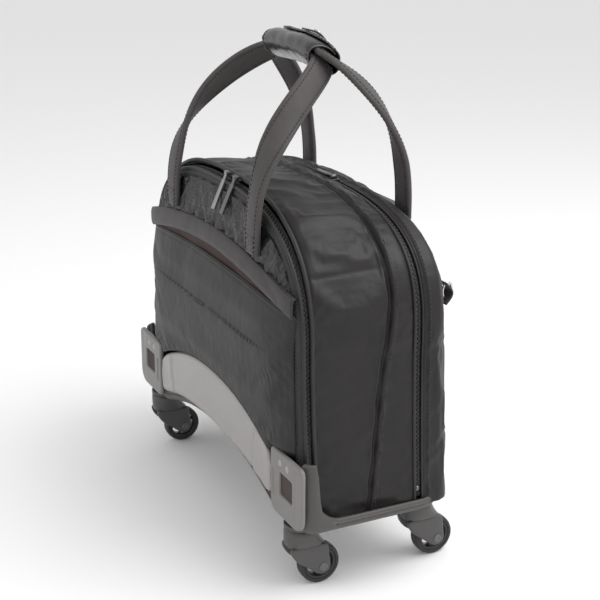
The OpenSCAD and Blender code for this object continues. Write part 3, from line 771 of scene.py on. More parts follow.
# ---- Main gusset -------------------------------------------------------------------
def make_gusset():
    rows, cols = 84, 420
    grid = gusset_grid(rows, cols)
    y, z = grid[..., 1], grid[..., 2]
    normal = outward(grid)
    seam = gusset_seam_y(z)
    front = np.clip((y - GUSSET_Y[0]) / (seam - GUSSET_Y[0]), 0, 1)
    back = np.clip((y - seam) / (GUSSET_Y[-1] - seam), 0, 1)
    crown = 3.4 * (1 - (2 * front - 1) ** 2) * (y <= seam) + 2.2 * (1 - (2 * back - 1) ** 2) * (y > seam)
    side = smooth_step(np.abs(grid[..., 0]), 120, 165)
    low = 1 - smooth_step(-z, -130, -84)
    relief = crown * (0.35 + 0.65 * low)
    relief -= 2.6 * ridge(y, seam, 1.7)
    relief += 1.9 * ridge(y - seam, 4.2, 2.2) + 0.7 * ridge(y - seam, -3.6, 2.0)
    relief -= 1.3 * ridge(z - 0.05 * (y + 30), 321, 1.5) * side * (y < seam - 2)
    relief += 0.5 * waves(grid, 60, 3) * low + 0.16 * waves(grid, 17, 4)
    pull = np.sin((y - seam) * 0.5 + z * 0.16) * ridge(y, seam, 9)
    relief += 0.35 * pull * side
    moved = grid + normal * relief[..., None] + upsample(MOVES["gusset"], rows, cols)
    piece = skin("gusset_fabric", moved, outward(moved), "case", "case_fabric", 3.4, ("main_gusset",))
    rows_at = [np.abs(grid[:, j, 1] - seam[:, j] - 6.6).argmin() for j in range(cols)]
    line = np.array([moved[i, j] for j, i in enumerate(rows_at)])
    ups = np.array([normal[i, j] for j, i in enumerate(rows_at)])
    kernel = np.ones(9) / 9
    smooth = np.stack([np.convolve(np.pad(line[:, k], 4, "edge"), kernel, "valid") for k in range(3)], 1)
    stitch_row(smooth, ups, "case", "gusset_seam_stitches")


def make_welts():
    """Piping along the seams."""
    specs = (
        ("gusset_front_piping", -70.6, 196.6, 386.2, 2.7, "case", 2.3, GUSSET_Z),
        ("rear_zip_piping_front", 34.2, 210.0, 371.4, 3.2, "case", 1.7, GUSSET_Z),
        ("rear_zip_piping_back", 42.6, 210.6, 370.2, 3.2, "case", 1.2, GUSSET_Z),
    )
    for name, y, half, top, n, body, radius, low in specs:
        path = arch_path(y, half, top, n, low, 320)
        add_piece(name, tube(path, radius, (0, 1, 0), sides=10), body, "piping")
    path = arch_path(-79.2, 195.6, 377.6, 2.7, 132, 300)
    bend(add_piece("door_rim_piping", tube(path, 2.0, (0, 1, 0), sides=10), None, "piping"))


# ---- Zips ---------------------------------------------------------------------------
def zip_band(name, stations, low, body, node):
    ys, halves, tops, ns = (np.array(v, float) for v in zip(*stations))
    at = np.linspace(0, 1, 9)
    knots = np.linspace(0, 1, len(ys))
    grid = arch_grid(*(np.interp(at, knots, v) for v in (ys, halves, tops, ns)), low, 300)
    return skin(name, grid, outward(grid), body, "zip_tape", 1.6, (node,))


def zip_coil(name, y, half, top, n, low, body):
    """Moulded teeth along a zip, which lean to either side in turn."""
    spread, pitch = 1.2, 2.3
    path = arch_path(y, half, top, n, low, 900)
    path = resample(path, pitch)
    grid = np.stack([path - [0, 1, 0], path, path + [0, 1, 0]])
    normal = outward(grid)[1]
    side = np.where(np.arange(len(path)) % 2 == 0, 1.0, -1.0)[:, None]
    teeth = path + side * np.array([0, spread, 0])
    along = np.tile([[0.0, 1.0, 0.0]], (len(path), 1)) + 0.35 * np.gradient(path, axis=0)
    return add_piece(name, bead_row(teeth, along, normal, (3.0, 1.5, 1.3)), body, "dark_plastic")


def make_zips():
    # Strip of fabric round the door's rim, beside the front zip
    cols, rows = 320, 12
    t = np.linspace(0, 1, rows)
    halves, tops = 187.2 + 8.3 * t, 368.4 + 9.6 * t
    grid = np.stack([arch_path(0, h, p, 2.7, 130, cols) for h, p in zip(halves, tops)])
    grid[..., 1] = door_y(grid[..., 0], grid[..., 2])
    low = grid[..., 2] < SPRING_Z
    straight = np.interp(t, (0, 0.3, 0.6, 1), (-86.3, -84.2, -81.6, -78.4))[:, None]
    grid[..., 1] = np.where(low, straight, grid[..., 1])
    normal = outward(grid)
    crown = 1.3 * (1 - (2 * t - 1) ** 2)[:, None] - 0.8 * ridge(t, 0.18, 0.06)[:, None]
    grid = grid + normal * (crown + 0.12 * waves(grid, 22, 11))[..., None]
    bend(skin("door_rim_strip", grid, normal, None, "zip_tape", 1.8, ()))
    bend(stitch_row(grid[3], normal[3], None, "door_rim_stitches", pitch=4.0, size=(2.4, 0.8, 0.6)))
    bend(zip_band("front_zip_tape", ((-77.6, 193.2, 375.4, 2.7), (-71.9, 194.0, 380.6, 2.7)), 130, None,
                  "zip_front"))
    bend(zip_coil("front_zip_coil", -75.2, 194.2, 378.6, 2.7, 131, None))
    zip_band("rear_zip_tape", ((34.4, 207.6, 368.8, 3.2), (41.8, 208.6, 368.8, 3.2)), GUSSET_Z + 4, "case",
             "zip_rear")
    zip_coil("rear_zip_coil", 38.1, 208.6, 369.4, 3.2, 95, "case")
    for side, tag in ((-1, "left"), (1, "right")):
        x = side * (208.6 + float(flare_at(np.array(94.0), 208.6)))
        shape = bead_row(np.array([[x, 38.1, 94.0]]), np.array([[0, 0, 1.0]]),
                         np.array([[side * 1.0, 0, 0]]), (7, 5.5, 2.6))
        add_piece(f"rear_zip_stop_{tag}", shape, "case", "dark_metal")


# ---- Rear shell and back ---------------------------------------------------------------
def make_rear():
    rows, cols = 44, 420
    grid = rear_grid(rows, cols)
    normal = outward(grid)
    t = np.linspace(0, 1, rows)[:, None]
    relief = 0.9 * (1 - (2 * t - 1) ** 2) + 0.35 * waves(grid, 50, 21) + 0.14 * waves(grid, 15, 22)
    relief = relief - 1.0 * ridge(t, 0.11, 0.03)
    moved = grid + normal * relief[..., None] + upsample(MOVES["rear"], rows, cols)
    skin("rear_side_fabric", moved, normal, "case", "case_fabric", 3.0, ("rear_shell",))
    stitch_row(moved[8], normal[8], "case", "rear_side_stitches")
    path = arch_path(77.4, BACK_HALF + 0.6, BACK_TOP + 0.6, 3.0, GUSSET_Z, 320)
    add_piece("back_piping", tube(path, 1.5, (0, 1, 0)), "case", "piping")
    rows, cols = 90, 130
    grid = back_grid(rows, cols)
    x, z = grid[..., 0], grid[..., 2]
    flat = smooth_step(np.abs(x), 86, 112)
    edge = 1 - smooth_step(np.abs(x) / (np.abs(grid[:, :1, 0]) + 1e-6), 0.82, 1.0)
    relief = 2.6 * flat * edge * smooth_step(z, 84, 130) * (1 - smooth_step(z, 285, 326))
    relief -= 1.5 * ridge(np.abs(x), 90, 1.8) + 1.2 * ridge(z, 118, 1.6)
    relief += 0.4 * waves(grid, 45, 31) * flat
    normal = np.broadcast_to(np.array([0, 1.0, 0]), grid.shape)
    moved = grid + normal * relief[..., None] + upsample(MOVES["back"], rows, cols)
    moved[..., 1] = np.where(np.abs(x) < 84, np.minimum(moved[..., 1], BACK_Y), moved[..., 1])
    skin("back_fabric", moved, normal, "case", "case_fabric", 3.0, ())
    for side, tag in ((-1, "left"), (1, "right")):
        j = int(np.abs(x[30] - side * 93.5).argmin())
        line = moved[4:80, j]
        stitch_row(line, np.tile([[0, 1.0, 0]], (len(line), 1)), "case", f"back_stitches_{tag}")
    # Pull loop at the near end of the back
    across = np.linspace(0, 1, 22)
    loop = np.stack([np.full(22, 186.0), 78.6 + 7.5 * np.sin(np.pi * across), 276 + 22 * across], 1)
    shape = ribbon(loop, np.tile([[1.0, 0, 0]], (22, 1)), 16, 1.8)
    add_piece("back_loop", shape, "case", "strap_fabric")
    ring = np.array([(186.0, 84.4 + 5.2 * math.cos(a), 288 + 8.5 * math.sin(a))
                     for a in np.linspace(0, 2 * math.pi, 36, endpoint=False)])
    add_piece("back_loop_ring", tube_loop(ring, 1.3, np.array([1.0, 0, 0])), "case", "bright_metal")


def tube_loop(ring, radius, axis, sides=10):
    ahead = unit(np.roll(ring, -1, 0) - np.roll(ring, 1, 0))
    side = np.broadcast_to(axis, ring.shape)
    up = np.cross(ahead, side)
    turn = np.linspace(0, 2 * np.pi, sides, endpoint=False)
    rings = [p + radius * (np.cos(turn)[:, None] * s + np.sin(turn)[:, None] * u)
             for p, s, u in zip(ring, side, up)]
    return loft(rings, closed=True)


def ribbon_section(width, thick, crown=0.0, count=9):
    """Outline of a flat strap with round edges: across and through."""
    u = np.linspace(-1, 1, count)
    upper = np.stack([u * (width / 2 - thick / 2), thick / 2 + crown * (1 - u ** 2)], 1)
    turn = np.linspace(np.pi / 2, -np.pi / 2, 7)[1:-1]
    right = np.stack([width / 2 - thick / 2 + thick / 2 * np.cos(turn), thick / 2 * np.sin(turn)], 1)
    lower = np.stack([u[::-1] * (width / 2 - thick / 2), -thick / 2 - crown * (1 - u ** 2)], 1)
    left = -right
    return np.concatenate([upper, right, lower, left])


def ribbon(path, sides, width, thick, crown=0.0):
    path = np.asarray(path, float)
    along = unit(np.gradient(path, axis=0))
    side = np.asarray(sides, float)
    side = unit(side - (side * along).sum(1)[:, None] * along)
    up = np.cross(side, along)
    widths = np.broadcast_to(width, len(path))
    rings = []
    for p, s, u, w in zip(path, side, up, widths):
        section = ribbon_section(w, thick, crown)
        rings.append(p + (section[:, :1] * s + section[:, 1:] * u))
    return loft(rings)


def make_front():
    rows, cols = 110, 260
    grid = front_grid(rows, cols)
    x, z = grid[..., 0], grid[..., 2]
    normal = -outward(grid)
    v = np.linspace(0, 1, rows)[:, None]
    relief = 0.5 * waves(grid, 70, 41) * smooth_step(v, 0, 0.2) + 0.1 * waves(grid, 16, 42)
    relief += 1.2 * ridge(v, 0.012, 0.012) + 0.9 * ridge(v, 0.985, 0.014)
    corner = smooth_step(np.abs(x), 150, 184)
    sweep = np.sin(z * 0.11 + np.abs(x) * 0.05)
    relief += 0.35 * sweep * corner * smooth_step(v, 0.05, 0.3)
    move = upsample(MOVES["front"], rows, cols)
    calm = 1 - 0.75 * smooth_step(z, 150, 168) * (1 - smooth_step(z, 168, 190))
    move *= ((1 - smooth_step(z, 262, 292)) * calm)[..., None]
    moved = grid + normal * relief[..., None] + move
    piece = skin("front_fabric", moved, normal, None, "case_fabric", 1.8, ("front_apron", "pocket_panel"))
    bend(piece)
    edge = moved[-1] + normal[-1] * 0.2 + [0, 0, 0.4]
    add_piece("pocket_edge_binding", tube(edge, 1.25, (0, 1, 0), sides=8), "front_door", "piping")
    bend(stitch_row(moved[-6], normal[-6], None, "pocket_edge_stitches", pitch=3.8,
                    size=(2.3, 0.7, 0.5), lift=0.1))
    hem = moved[1, 38:-38] + normal[1, 38:-38] * 0.3
    add_piece("front_hem_binding", tube(hem, 1.2, (0, 1, 0), sides=8), "case", "case_fabric")
    for tag, j in (("right", 1), ("left", cols - 2)):
        line = moved[6:, j] + normal[6:, j] * 0.1
        shape = tube(line, 1.3, (0, 1, 0), sides=8)
        bend(add_piece(f"front_corner_piping_{tag}", shape, None, "case_fabric"))
    # Lower side returns that close the front under the fold
    for side, tag in ((-1, "left"), (1, "right")):
        z = np.linspace(110, 158, 20)
        out = []
        for y in np.linspace(-86.5, -72.5, 8):
            x = side * (197.0 + flare_at(z) - 5.5 * ((-72.5 - y) / 14) ** 2)
            out.append(np.stack([x, np.full(20, y), z], 1))
        side_grid = np.stack(out)
        n = np.broadcast_to(np.array([side * 1.0, 0, 0]), side_grid.shape)
        skin(f"front_side_return_{tag}", side_grid - n * 1.8, n, "case", "case_fabric", 1.6, ())


def make_quilt():
    rows, cols = 76, 360
    grid = quilt_grid(rows, cols)
    normal = -outward(grid)
    a = grid[..., 0] / QUILT_W + grid[..., 2] / QUILT_H
    b = grid[..., 0] / QUILT_W - grid[..., 2] / QUILT_H
    puff = np.sqrt(np.abs(np.sin(np.pi * a) * np.sin(np.pi * b)))
    line = quilt_lines(grid)
    relief = 3.4 * puff ** 0.85 - 0.5
    near = ridge(line, 0, 0.16)
    pucker = np.sin(a * 26 + b * 9) * near + np.sin(b * 29 - a * 7) * near
    relief += 0.16 * pucker + 0.3 * waves(grid, 20, 51) * puff
    moved = grid + normal * relief[..., None] + 0.8 * upsample(MOVES["quilt"], rows, cols)
    panel = skin("quilted_panel", moved, normal, "front_door", "quilted_fabric", 3.0, ("front_door_panel",))
    places, alongs, ups = [], [], []
    step = 3.6
    for sign in (1, -1):
        for k in range(-14, 30):
            z = np.arange(300, 372, step * 0.79)
            x = QUILT_W * (k - sign * z / QUILT_H)
            keep = (np.abs(x) < 183) & (z > welt_low(x) + 18)
            y = door_y(x, z)
            inside = keep & (((np.abs(x) / 186.5) ** 2.7 + (np.clip(z - SPRING_Z, 0, None) / 128) ** 2.7) < 1)
            slope = np.array([-sign * QUILT_W / QUILT_H, 0, 1.0])
            for px, py, pz in zip(x[inside], y[inside], z[inside]):
                places.append((px, py - 0.1, pz))
                alongs.append(slope)
                ups.append(OUT_FRONT + np.array([0, 0, 0.25]))
    shape = bead_row(np.array(places), np.array(alongs), np.array(ups), (2.2, 0.8, 0.7))
    add_piece("quilt_stitches", shape, "front_door", "stitch_thread")


def make_welt_band():
    cols = 180
    u = np.linspace(1, -1, cols)
    x = u * 188.5
    rows = 15
    out = []
    for v in np.linspace(0, 1, rows):
        z = welt_low(x) + 19.5 * v
        y = np.minimum(door_y(x, z), -88.4) - 1.6 * (1 - (2 * v - 1) ** 4) - 0.6
        y = y + 3.0 * np.abs(u) ** 14
        out.append(np.stack([x, y, z], 1))
    grid = np.stack(out)
    normal = -outward(grid)
    grid = grid + normal * (0.25 * waves(grid, 26, 61))[..., None]
    skin("welt_band", grid, normal, "front_door", "welt_fabric", 2.4, ("pocket_welt",))
    for name, row in (("low", 0), ("high", -1)):
        shape = tube(grid[row] + normal[row] * 0.4, 1.35, (0, 1, 0), sides=8)
        add_piece(f"welt_band_{name}_piping", shape, "front_door", "welt_fabric")
    for name, row in (("low", 2), ("high", -3)):
        stitch_row(grid[row], normal[row], "front_door", f"welt_stitches_{name}", pitch=3.6,
                   size=(2.2, 0.7, 0.5), lift=0.1)
    # Lining that shows in the pocket's mouth
    rows = 14
    lining_half = 178
    x = np.linspace(1, -1, 90) * lining_half
    out = []
    for v in np.linspace(0, 1, rows):
        foot = 262 - 8 * (x / lining_half) ** 2
        z = foot + (welt_low(x) + 4 - foot) * v
        y = door_y(x, z) + 0.6 - 0.5 * np.sin(x * 0.09) * v
        out.append(np.stack([x, y, z], 1))
    lining = np.stack(out)
    normal = -outward(lining)
    piece = skin("pocket_lining", lining, normal, "front_door", "lining", 0.8, ())


# ---- Handles ------------------------------------------------------------------------------
STRAP_X, STRAP_N, TILT, STRAP_TOP, WRAP_Y = 107.0, 3.6, math.radians(58), 510.0, 8.0
STRAP_W, STRAP_T, JOIN_H, STITCH_IN = 28.0, 8.0, 0.96, 4.0
FRONT_FOOT, REAR_FOOT = (-91.8, 328.0), (77.8, 346.0)
PLY = STRAP_T / 2 + 0.5
FRONT_OVER = (WRAP_Y - PLY * math.cos(TILT), STRAP_TOP - PLY * math.sin(TILT))
REAR_OVER = (WRAP_Y + PLY * math.cos(TILT), STRAP_TOP + PLY * math.sin(TILT))


def strap_line(angles, foot, over, way):
    h = signed_power(np.sin(angles), STRAP_N)
    u = np.minimum(1, h / JOIN_H)
    lean = u ** 2.8
    path = np.stack([STRAP_X * signed_power(np.cos(angles), STRAP_N), foot[0] + (over[0] - foot[0]) * lean,
                     foot[1] + (over[1] - foot[1]) * h], 1)
    q = np.clip((h - 0.3) / 0.62, 0, 1)
    q = np.pi / 2 * q * q * (3 - 2 * q)
    flip = np.where(np.cos(angles) < 0, -1.0, 1.0)
    side = np.stack([way * flip * np.cos(q), np.sin(q) * math.sin(TILT), -np.sin(q) * math.cos(TILT)], 1)
    return path, side


def make_strap(name, foot, over, way, body, node):
    angles = np.concatenate([np.radians(np.linspace(0, 6, 10)), np.radians(np.linspace(7.5, 172.5, 190)),
                             np.radians(np.linspace(174, 180, 10))])
    path, side = strap_line(angles, foot, over, way)
    along = unit(np.gradient(path, axis=0))
    side = unit(side - (side * along).sum(1)[:, None] * along)
    up = np.cross(side, along)
    section = ribbon_section(STRAP_W, STRAP_T - 1.8, 0.7, 15)
    groove = ridge(np.abs(section[:, 0]), STRAP_W / 2 - STITCH_IN, 0.9)
    section[:, 1] -= np.sign(section[:, 1]) * 0.7 * groove
    wob = waves(np.stack([path, path]), 34, 71)[0]
    rings = [p + section[:, :1] * s * (1 + 0.012 * w) + section[:, 1:] * n
             for p, s, n, w in zip(path, side, up, wob)]
    piece = add_piece(name, loft(rings), body, "strap_fabric", (node,))
    rows = []
    for across in (-1, 1):
        for face in (-1, 1):
            line = path + across * (STRAP_W / 2 - STITCH_IN) * side + face * (STRAP_T / 2 - 0.75) * up
            rows.append(stitch_row(line, face * up, None, None, pitch=4.4, size=(2.8, 0.9, 0.6), lift=0.0))
    add_piece(name + "_stitches", join(rows), body, "stitch_thread")
    # Box of stitching at each foot
    for end, tag in ((0, "right"), (-1, "left")):
        centre = path[end]
        up_way = np.array([0, 0, 1.0])
        flat = up[end] * np.sign(up[end][1] * foot[0]) if abs(up[end][1]) > 0.2 else OUT_FRONT
        corners = [centre + side[end] * a * 9 + up_way * b + flat * (STRAP_T / 2 - 0.6)
                   for a, b in ((-1, 3), (1, 3), (1, 18), (-1, 18), (-1, 3), (1, 18), (1, 3), (-1, 18))]
        lines = [resample(np.array([p, q]), 1.0) for p, q in zip(corners, corners[1:])]
        parts = [stitch_row(line, np.tile([flat], (len(line), 1)), None, None, pitch=3.4,
                            size=(2.2, 0.9, 0.7), lift=0.1) for line in lines]
        add_piece(f"{name}_box_{tag}", join(parts), body, "stitch_thread")


def wrap_z(x):
    mid = (FRONT_FOOT[1] + REAR_FOOT[1]) / 2
    return mid + (STRAP_TOP - mid) * (1 - (np.abs(x) / STRAP_X) ** STRAP_N) ** (1 / STRAP_N)


WRAP_HALF = (19.0, 13.0)
WRAP_LEN, WRAP_X = 106.0, 8.0


def wrap_point(x, angle, grow):
    p = (WRAP_HALF[0] + grow) * np.cos(angle)
    q = (WRAP_HALF[1] + grow) * np.sin(angle)
    return np.stack([x + 0 * p, WRAP_Y + p * math.sin(TILT) + q * math.cos(TILT),
                     wrap_z(x) - p * math.cos(TILT) + q * math.sin(TILT)], -1)


def make_wrap():
    # The leather starts under its own flap, goes once round and ends on top of itself
    cols, rows = 96, 70
    start, finish = math.radians(60), math.radians(60 + 360 + 62)
    x = WRAP_X + np.linspace(-WRAP_LEN / 2, WRAP_LEN / 2, rows)
    t = np.linspace(0, 1, cols)
    angle = start + (finish - start) * t
    lap = smooth_step(t, 0.78, 0.93)
    grid = []
    for px in x:
        u = (px - WRAP_X) / (WRAP_LEN / 2)
        end_pinch = -1.0 * smooth_step(abs(u), 0.86, 1.0)
        tip = 1 - 0.10 * abs(u) ** 6
        a = start + (angle - start) * (1 - (1 - tip) * smooth_step(t, 0.7, 1.0))
        fold = 0.5 * np.sin(px * 0.12 + 2 * a) + 0.25 * np.sin(px * 0.31 - a * 3)
        grid.append(wrap_point(px, a, 1.2 + 2.6 * lap + end_pinch + 0.45 * fold))
    grid = np.stack(grid)
    down = np.gradient(grid, axis=0)
    across = np.gradient(grid, axis=1)
    normal = unit(np.cross(down, across))
    axis = np.stack([x, np.full(rows, WRAP_Y), wrap_z(x)], 1)[:, None]
    if ((grid - axis) * normal).sum() < 0:
        normal = -normal
    skin("wrap_leather", grid, normal, "front_handle", "black_leather", 1.5, ("handle_wrap",))
    inner = slice(2, -2)
    after = slice(8, None)
    rows_of = [stitch_row(grid[at], normal[at], None, None, pitch=4.0, size=(2.5, 0.9, 0.7), lift=0.1)
               for at in ((inner, -3), (2, after), (-3, after))]
    add_piece("wrap_stitches", join(rows_of), "front_handle", "stitch_thread")
    for tag, i in (("near", 0), ("far", -1)):
        shape = tube(grid[i, 4:-2] + normal[i, 4:-2] * -0.5, 1.1, (1, 0, 0), sides=8)
        add_piece(f"wrap_rolled_edge_{tag}", shape, "front_handle", "black_leather")
    # Closing tab with its snap
    u = np.linspace(0, 1, 26)
    a = math.radians(118) - math.radians(74) * u
    tab = wrap_point(np.full(26, 22.0), a, 5.4 + 0.6 * np.sin(np.pi * u))
    width = 17 - 5 * smooth_step(u, 0.75, 1.0)
    shape = ribbon(tab, np.tile([[1.0, 0, 0]], (26, 1)), width, 1.8)
    add_piece("wrap_tab", shape, "front_handle", "black_leather")
    at = wrap_point(np.array([22.0]), np.array([math.radians(84)]), 7.6)[0]
    out = at - np.array([22.0, WRAP_Y, float(wrap_z(22.0))])
    out /= np.linalg.norm(out)
    shape = lathe(((0, 1.3), (3.4, 1.2), (4.6, 0.7), (5.2, 0), (4.6, -0.8), (0, -0.8)), at, out)
    add_piece("wrap_snap_cap", shape, "front_handle", "bright_metal", ("wrap_snap",))


def lathe(profile, centre, axis, sides=40):
    """A turned solid: profile is (radius, height) from the top's middle round to the bottom's."""
    axis = np.asarray(axis, float) / np.linalg.norm(axis)
    seed = np.array([1.0, 0, 0]) if abs(axis[0]) < 0.8 else np.array([0, 1.0, 0])
    u = np.cross(axis, seed)
    u /= np.linalg.norm(u)
    w = np.cross(axis, u)
    turn = np.linspace(0, 2 * np.pi, sides, endpoint=False)
    rings = [np.asarray(centre) + max(r, 0.02) * (np.cos(turn)[:, None] * u + np.sin(turn)[:, None] * w)
             + h * axis for r, h in profile]
    return loft(rings)


# ---- Base -----------------------------------------------------------------------------------
TRAY = (226.0, -92.4, 72.0)
POST_TOP, POST_INNER_Y, POST_FILLET = 147.0, -77.4, 28.0


def tray_outline():
    """Plan of the base, anticlockwise from the middle of its back, with the outward direction."""
    x0, y0, y1 = TRAY
    front, rear = 17.0, 34.0
    parts = [np.array([(0, y1), (-x0 + rear, y1)])]
    for cx, cy, r, a0 in ((-x0 + rear, y1 - rear, rear, 90), (-x0 + front, y0 + front, front, 180),
                          (x0 - front, y0 + front, front, 270), (x0 - rear, y1 - rear, rear, 0)):
        a = np.radians(np.linspace(a0, a0 + 90, 24))
        parts.append(np.stack([cx + r * np.cos(a), cy + r * np.sin(a)], 1))
    parts.append(np.array([(0, y1)]))
    path = resample(np.concatenate(parts), 2.0)
    ahead = np.roll(path, -1, 0) - np.roll(path, 1, 0)
    ahead[0] = ahead[-1] = (-1, 0)
    ahead = unit(ahead)
    return path[:-1], np.stack([ahead[:, 1], -ahead[:, 0]], 1)[:-1]


def floor_rise(x):
    return BASE_RISE * np.clip(1 - (np.abs(x) / FLOOR_HALF) ** 2, 0, 1)


def lip_top(x, y):
    """Height of the base's upper edge round its outline."""
    rise = floor_rise(x)
    foot_y = POST_INNER_Y + POST_FILLET
    short = np.clip(POST_FILLET ** 2 - (np.minimum(y, foot_y) - foot_y) ** 2, 0, None)
    foot = 85 + POST_FILLET - np.sqrt(short)
    post = np.where(y < POST_INNER_Y, POST_TOP, foot)
    end = np.maximum(post, 85.0 + 7 * smooth_step(y, 44, 70))
    front = np.where(np.abs(x) > 214, POST_TOP, 84.0 + rise)
    front = np.maximum(front, 84 + rise + 63 * smooth_step(np.abs(x), 205, 216))
    top = np.where(y < -80, front, end)
    back = 92 - 3 * smooth_step(-np.abs(x), -200, -170)
    return np.where(y > 60, np.where(np.abs(x) < 195, back + 0.8 * rise, top), top)


def make_base():
    path, out = tray_outline()
    x, y = path.T
    rise = floor_rise(x)
    top = lip_top(x, y)
    ring = top.copy()
    ring = np.convolve(np.concatenate([ring[-1:], ring, ring[:1]]), (0.25, 0.5, 0.25), "valid")
    bottom = BASE_Z + rise
    # From the inside of the lip, over it, down the outside and under
    sections = []
    for k in range(len(path)):
        h0, h1 = bottom[k], ring[k]
        lip = [(-4.6, h1 - 9), (-4.6, h1 - 2.4)]
        lip += [(-2.6 - 2.0 * math.cos(a), h1 - 2.0 + 2.0 * math.sin(a)) for a in (0.5, 1.1, 1.57)]
        lip += [(-2.2 + 2.2 * math.sin(a), h1 - 2.4 + 2.4 * math.cos(a)) for a in (0.5, 1.1, 1.57)]
        low = [(0.5, (h1 + h0) / 2 + 2), (0.6, h0 + 10.5)]
        low += [(-9.4 + 10 * math.cos(a), h0 + 9.6 - 9.6 * math.sin(a)) for a in (0.35, 0.75, 1.15, 1.57)]
        low += [(-16, h0), (-30, h0 + 0.2), (-30, h0 + 5), (-4.6, h0 + 10.4)]
        profile = np.array(lip + low)
        sections.append(np.stack([x[k] + profile[:, 0] * out[k, 0], y[k] + profile[:, 0] * out[k, 1],
                                  profile[:, 1]], 1))
    shell = loft(sections, closed=True)
    # Floor of the base
    cols, rows = 120, 14
    xs = np.linspace(-206, 206, cols)
    grid = np.stack([np.stack([xs, np.full(cols, v), BASE_Z + 0.3 + floor_rise(xs)], 1)
                     for v in np.linspace(-74, 54, rows)])
    upper = grid + [0, 0, 8.6]
    points = np.concatenate([grid.reshape(-1, 3), upper.reshape(-1, 3)])
    base = rows * cols
    faces = grid_faces(rows, cols) + [tuple(base + i for i in f[::-1]) for f in grid_faces(rows, cols)]
    points, faces = join([shell, (points, faces)])
    add_piece("base_shell", (points, faces), "case", "moulded_plastic", ("base_tray",))
    # Ribs under the base
    parts = []
    for x0 in (-120, -60, 0, 60, 120):
        z0 = BASE_Z + float(floor_rise(np.array(x0))) - 0.6
        line = np.array([(x0, v, z0) for v in np.linspace(-74, 54, 20)])
        parts.append(ribbon(line, np.tile([[1.0, 0, 0]], (20, 1)), 3.2, 2.4))
    add_piece("base_ribs", join(parts), "case", "moulded_plastic")


def blend_loops(outer, inner, levels):
    """Rings from one outline to another in the XZ plane: levels is (share, height) pairs."""
    return [np.stack([outer[:, 0] * (1 - s) + inner[:, 0] * s, np.full(len(outer), h),
                      outer[:, 1] * (1 - s) + inner[:, 1] * s], 1) for s, h in levels]


def rounded_box_outline(x0, x1, z0, z1, radii, count):
    """Outline that starts at the middle of the right side and goes up; radii from the lower left corner."""
    corners = ((x1, z1, radii[2], 0), (x0, z1, radii[3], 90), (x0, z0, radii[0], 180),
               (x1, z0, radii[1], 270))
    points = [(x1, (z0 + z1) / 2)]
    for cx, cz, r, a0 in corners:
        mx = cx - r if cx == x1 else cx + r
        mz = cz - r if cz == z1 else cz + r
        points += [(mx + r * math.cos(math.radians(a0 + k)), mz + r * math.sin(math.radians(a0 + k)))
                   for k in range(0, 91, 6)]
    points.append(points[0])
    path = np.array(points)
    # Even angles about the middle keep the inner and outer outlines in step
    middle = np.array([(x0 + x1) / 2, (z0 + z1) / 2])
    angle = np.unwrap(np.arctan2(path[:, 1] - middle[1], path[:, 0] - middle[0]))
    at = angle[0] + np.linspace(0, 2 * np.pi, count, endpoint=False)
    return np.stack([np.interp(at, angle, path[:, k]) for k in (0, 1)], 1)


GUARD_FACE = -96.3


def make_guards():
    count = 160
    for side, tag in ((1, "right"), (-1, "left")):
        outer = rounded_box_outline(156, 225.5, 75, 144, (10, 16, 6, 5), count)
        window = rounded_box_outline(177, 205, 99, 123, (2.5, 2.5, 2.5, 2.5), count)
        # The window's centre is not the outline's, so its points are matched by angle
        rings = blend_loops(outer, window, ((0.0, -91.6), (0.0, -93.4), (0.012, -94.8), (0.04, -95.8),
                                            (0.09, GUARD_FACE)))
        for s in np.linspace(0.13, 0.93, 18):
            rings += blend_loops(outer, window, ((s, GUARD_FACE),))
        rings += blend_loops(outer, window, ((0.965, GUARD_FACE + 0.2), (0.99, GUARD_FACE + 0.9),
                                             (1.0, -94.6), (1.0, -93.2)))
        rings = np.stack(rings)
        x, z = rings[..., 0], rings[..., 2]
        face = rings[..., 1] < -96.2
        recess = smooth_step(x, 160.2, 161.6) * (1 - smooth_step(x, 167.2, 168.6))
        recess = recess * smooth_step(z, 93, 95) * (1 - smooth_step(z, 121, 123))
        step = smooth_step(x, 208.5, 212)
        dimple = sum(np.exp(-(((x - cx) ** 2 + (z - 133) ** 2) / 14.0) ** 3) for cx in (178, 194))
        rings[..., 1] += face * (1.1 * recess + 0.5 * step + 0.7 * dimple)
        rings[..., 0] *= side
        points, faces = loft(list(rings))
        faces = faces[:-2] + [tuple(range(count))]
        add_piece(f"guard_{tag}", (points, faces), "case", "guard_plate", (f"corner_guard_{tag}",))
        # Window insert: a dark pad with a fine raised grid
        rows, cols = 40, 44
        gx, gz = np.meshgrid(np.linspace(176.6, 205.4, cols), np.linspace(98.6, 123.4, rows))
        mesh = 0.5 * np.maximum(np.abs(np.sin(gx * np.pi / 2.4)), np.abs(np.sin(gz * np.pi / 2.4))) ** 6
        pad = np.stack([gx * side, -93.6 - mesh, gz], 2)
        n = np.broadcast_to(OUT_FRONT, pad.shape)
        skin(f"guard_pad_{tag}", pad, n, "case", "insert", 1.4, (f"guard_insert_{tag}",))
    rivet = ((0, 0.9), (2.6, 0.8), (3.8, 0.3), (4.1, -0.4), (0, -0.4))
    parts = [lathe(rivet, (sx * cx, GUARD_FACE + 0.5, 133), OUT_FRONT, 24)
             for sx in (-1, 1) for cx in (178, 194)]
    add_piece("guard_rivet_heads", join(parts), "case", "satin_plate", ("guard_rivets",))


PLATE_HALF = 152.5


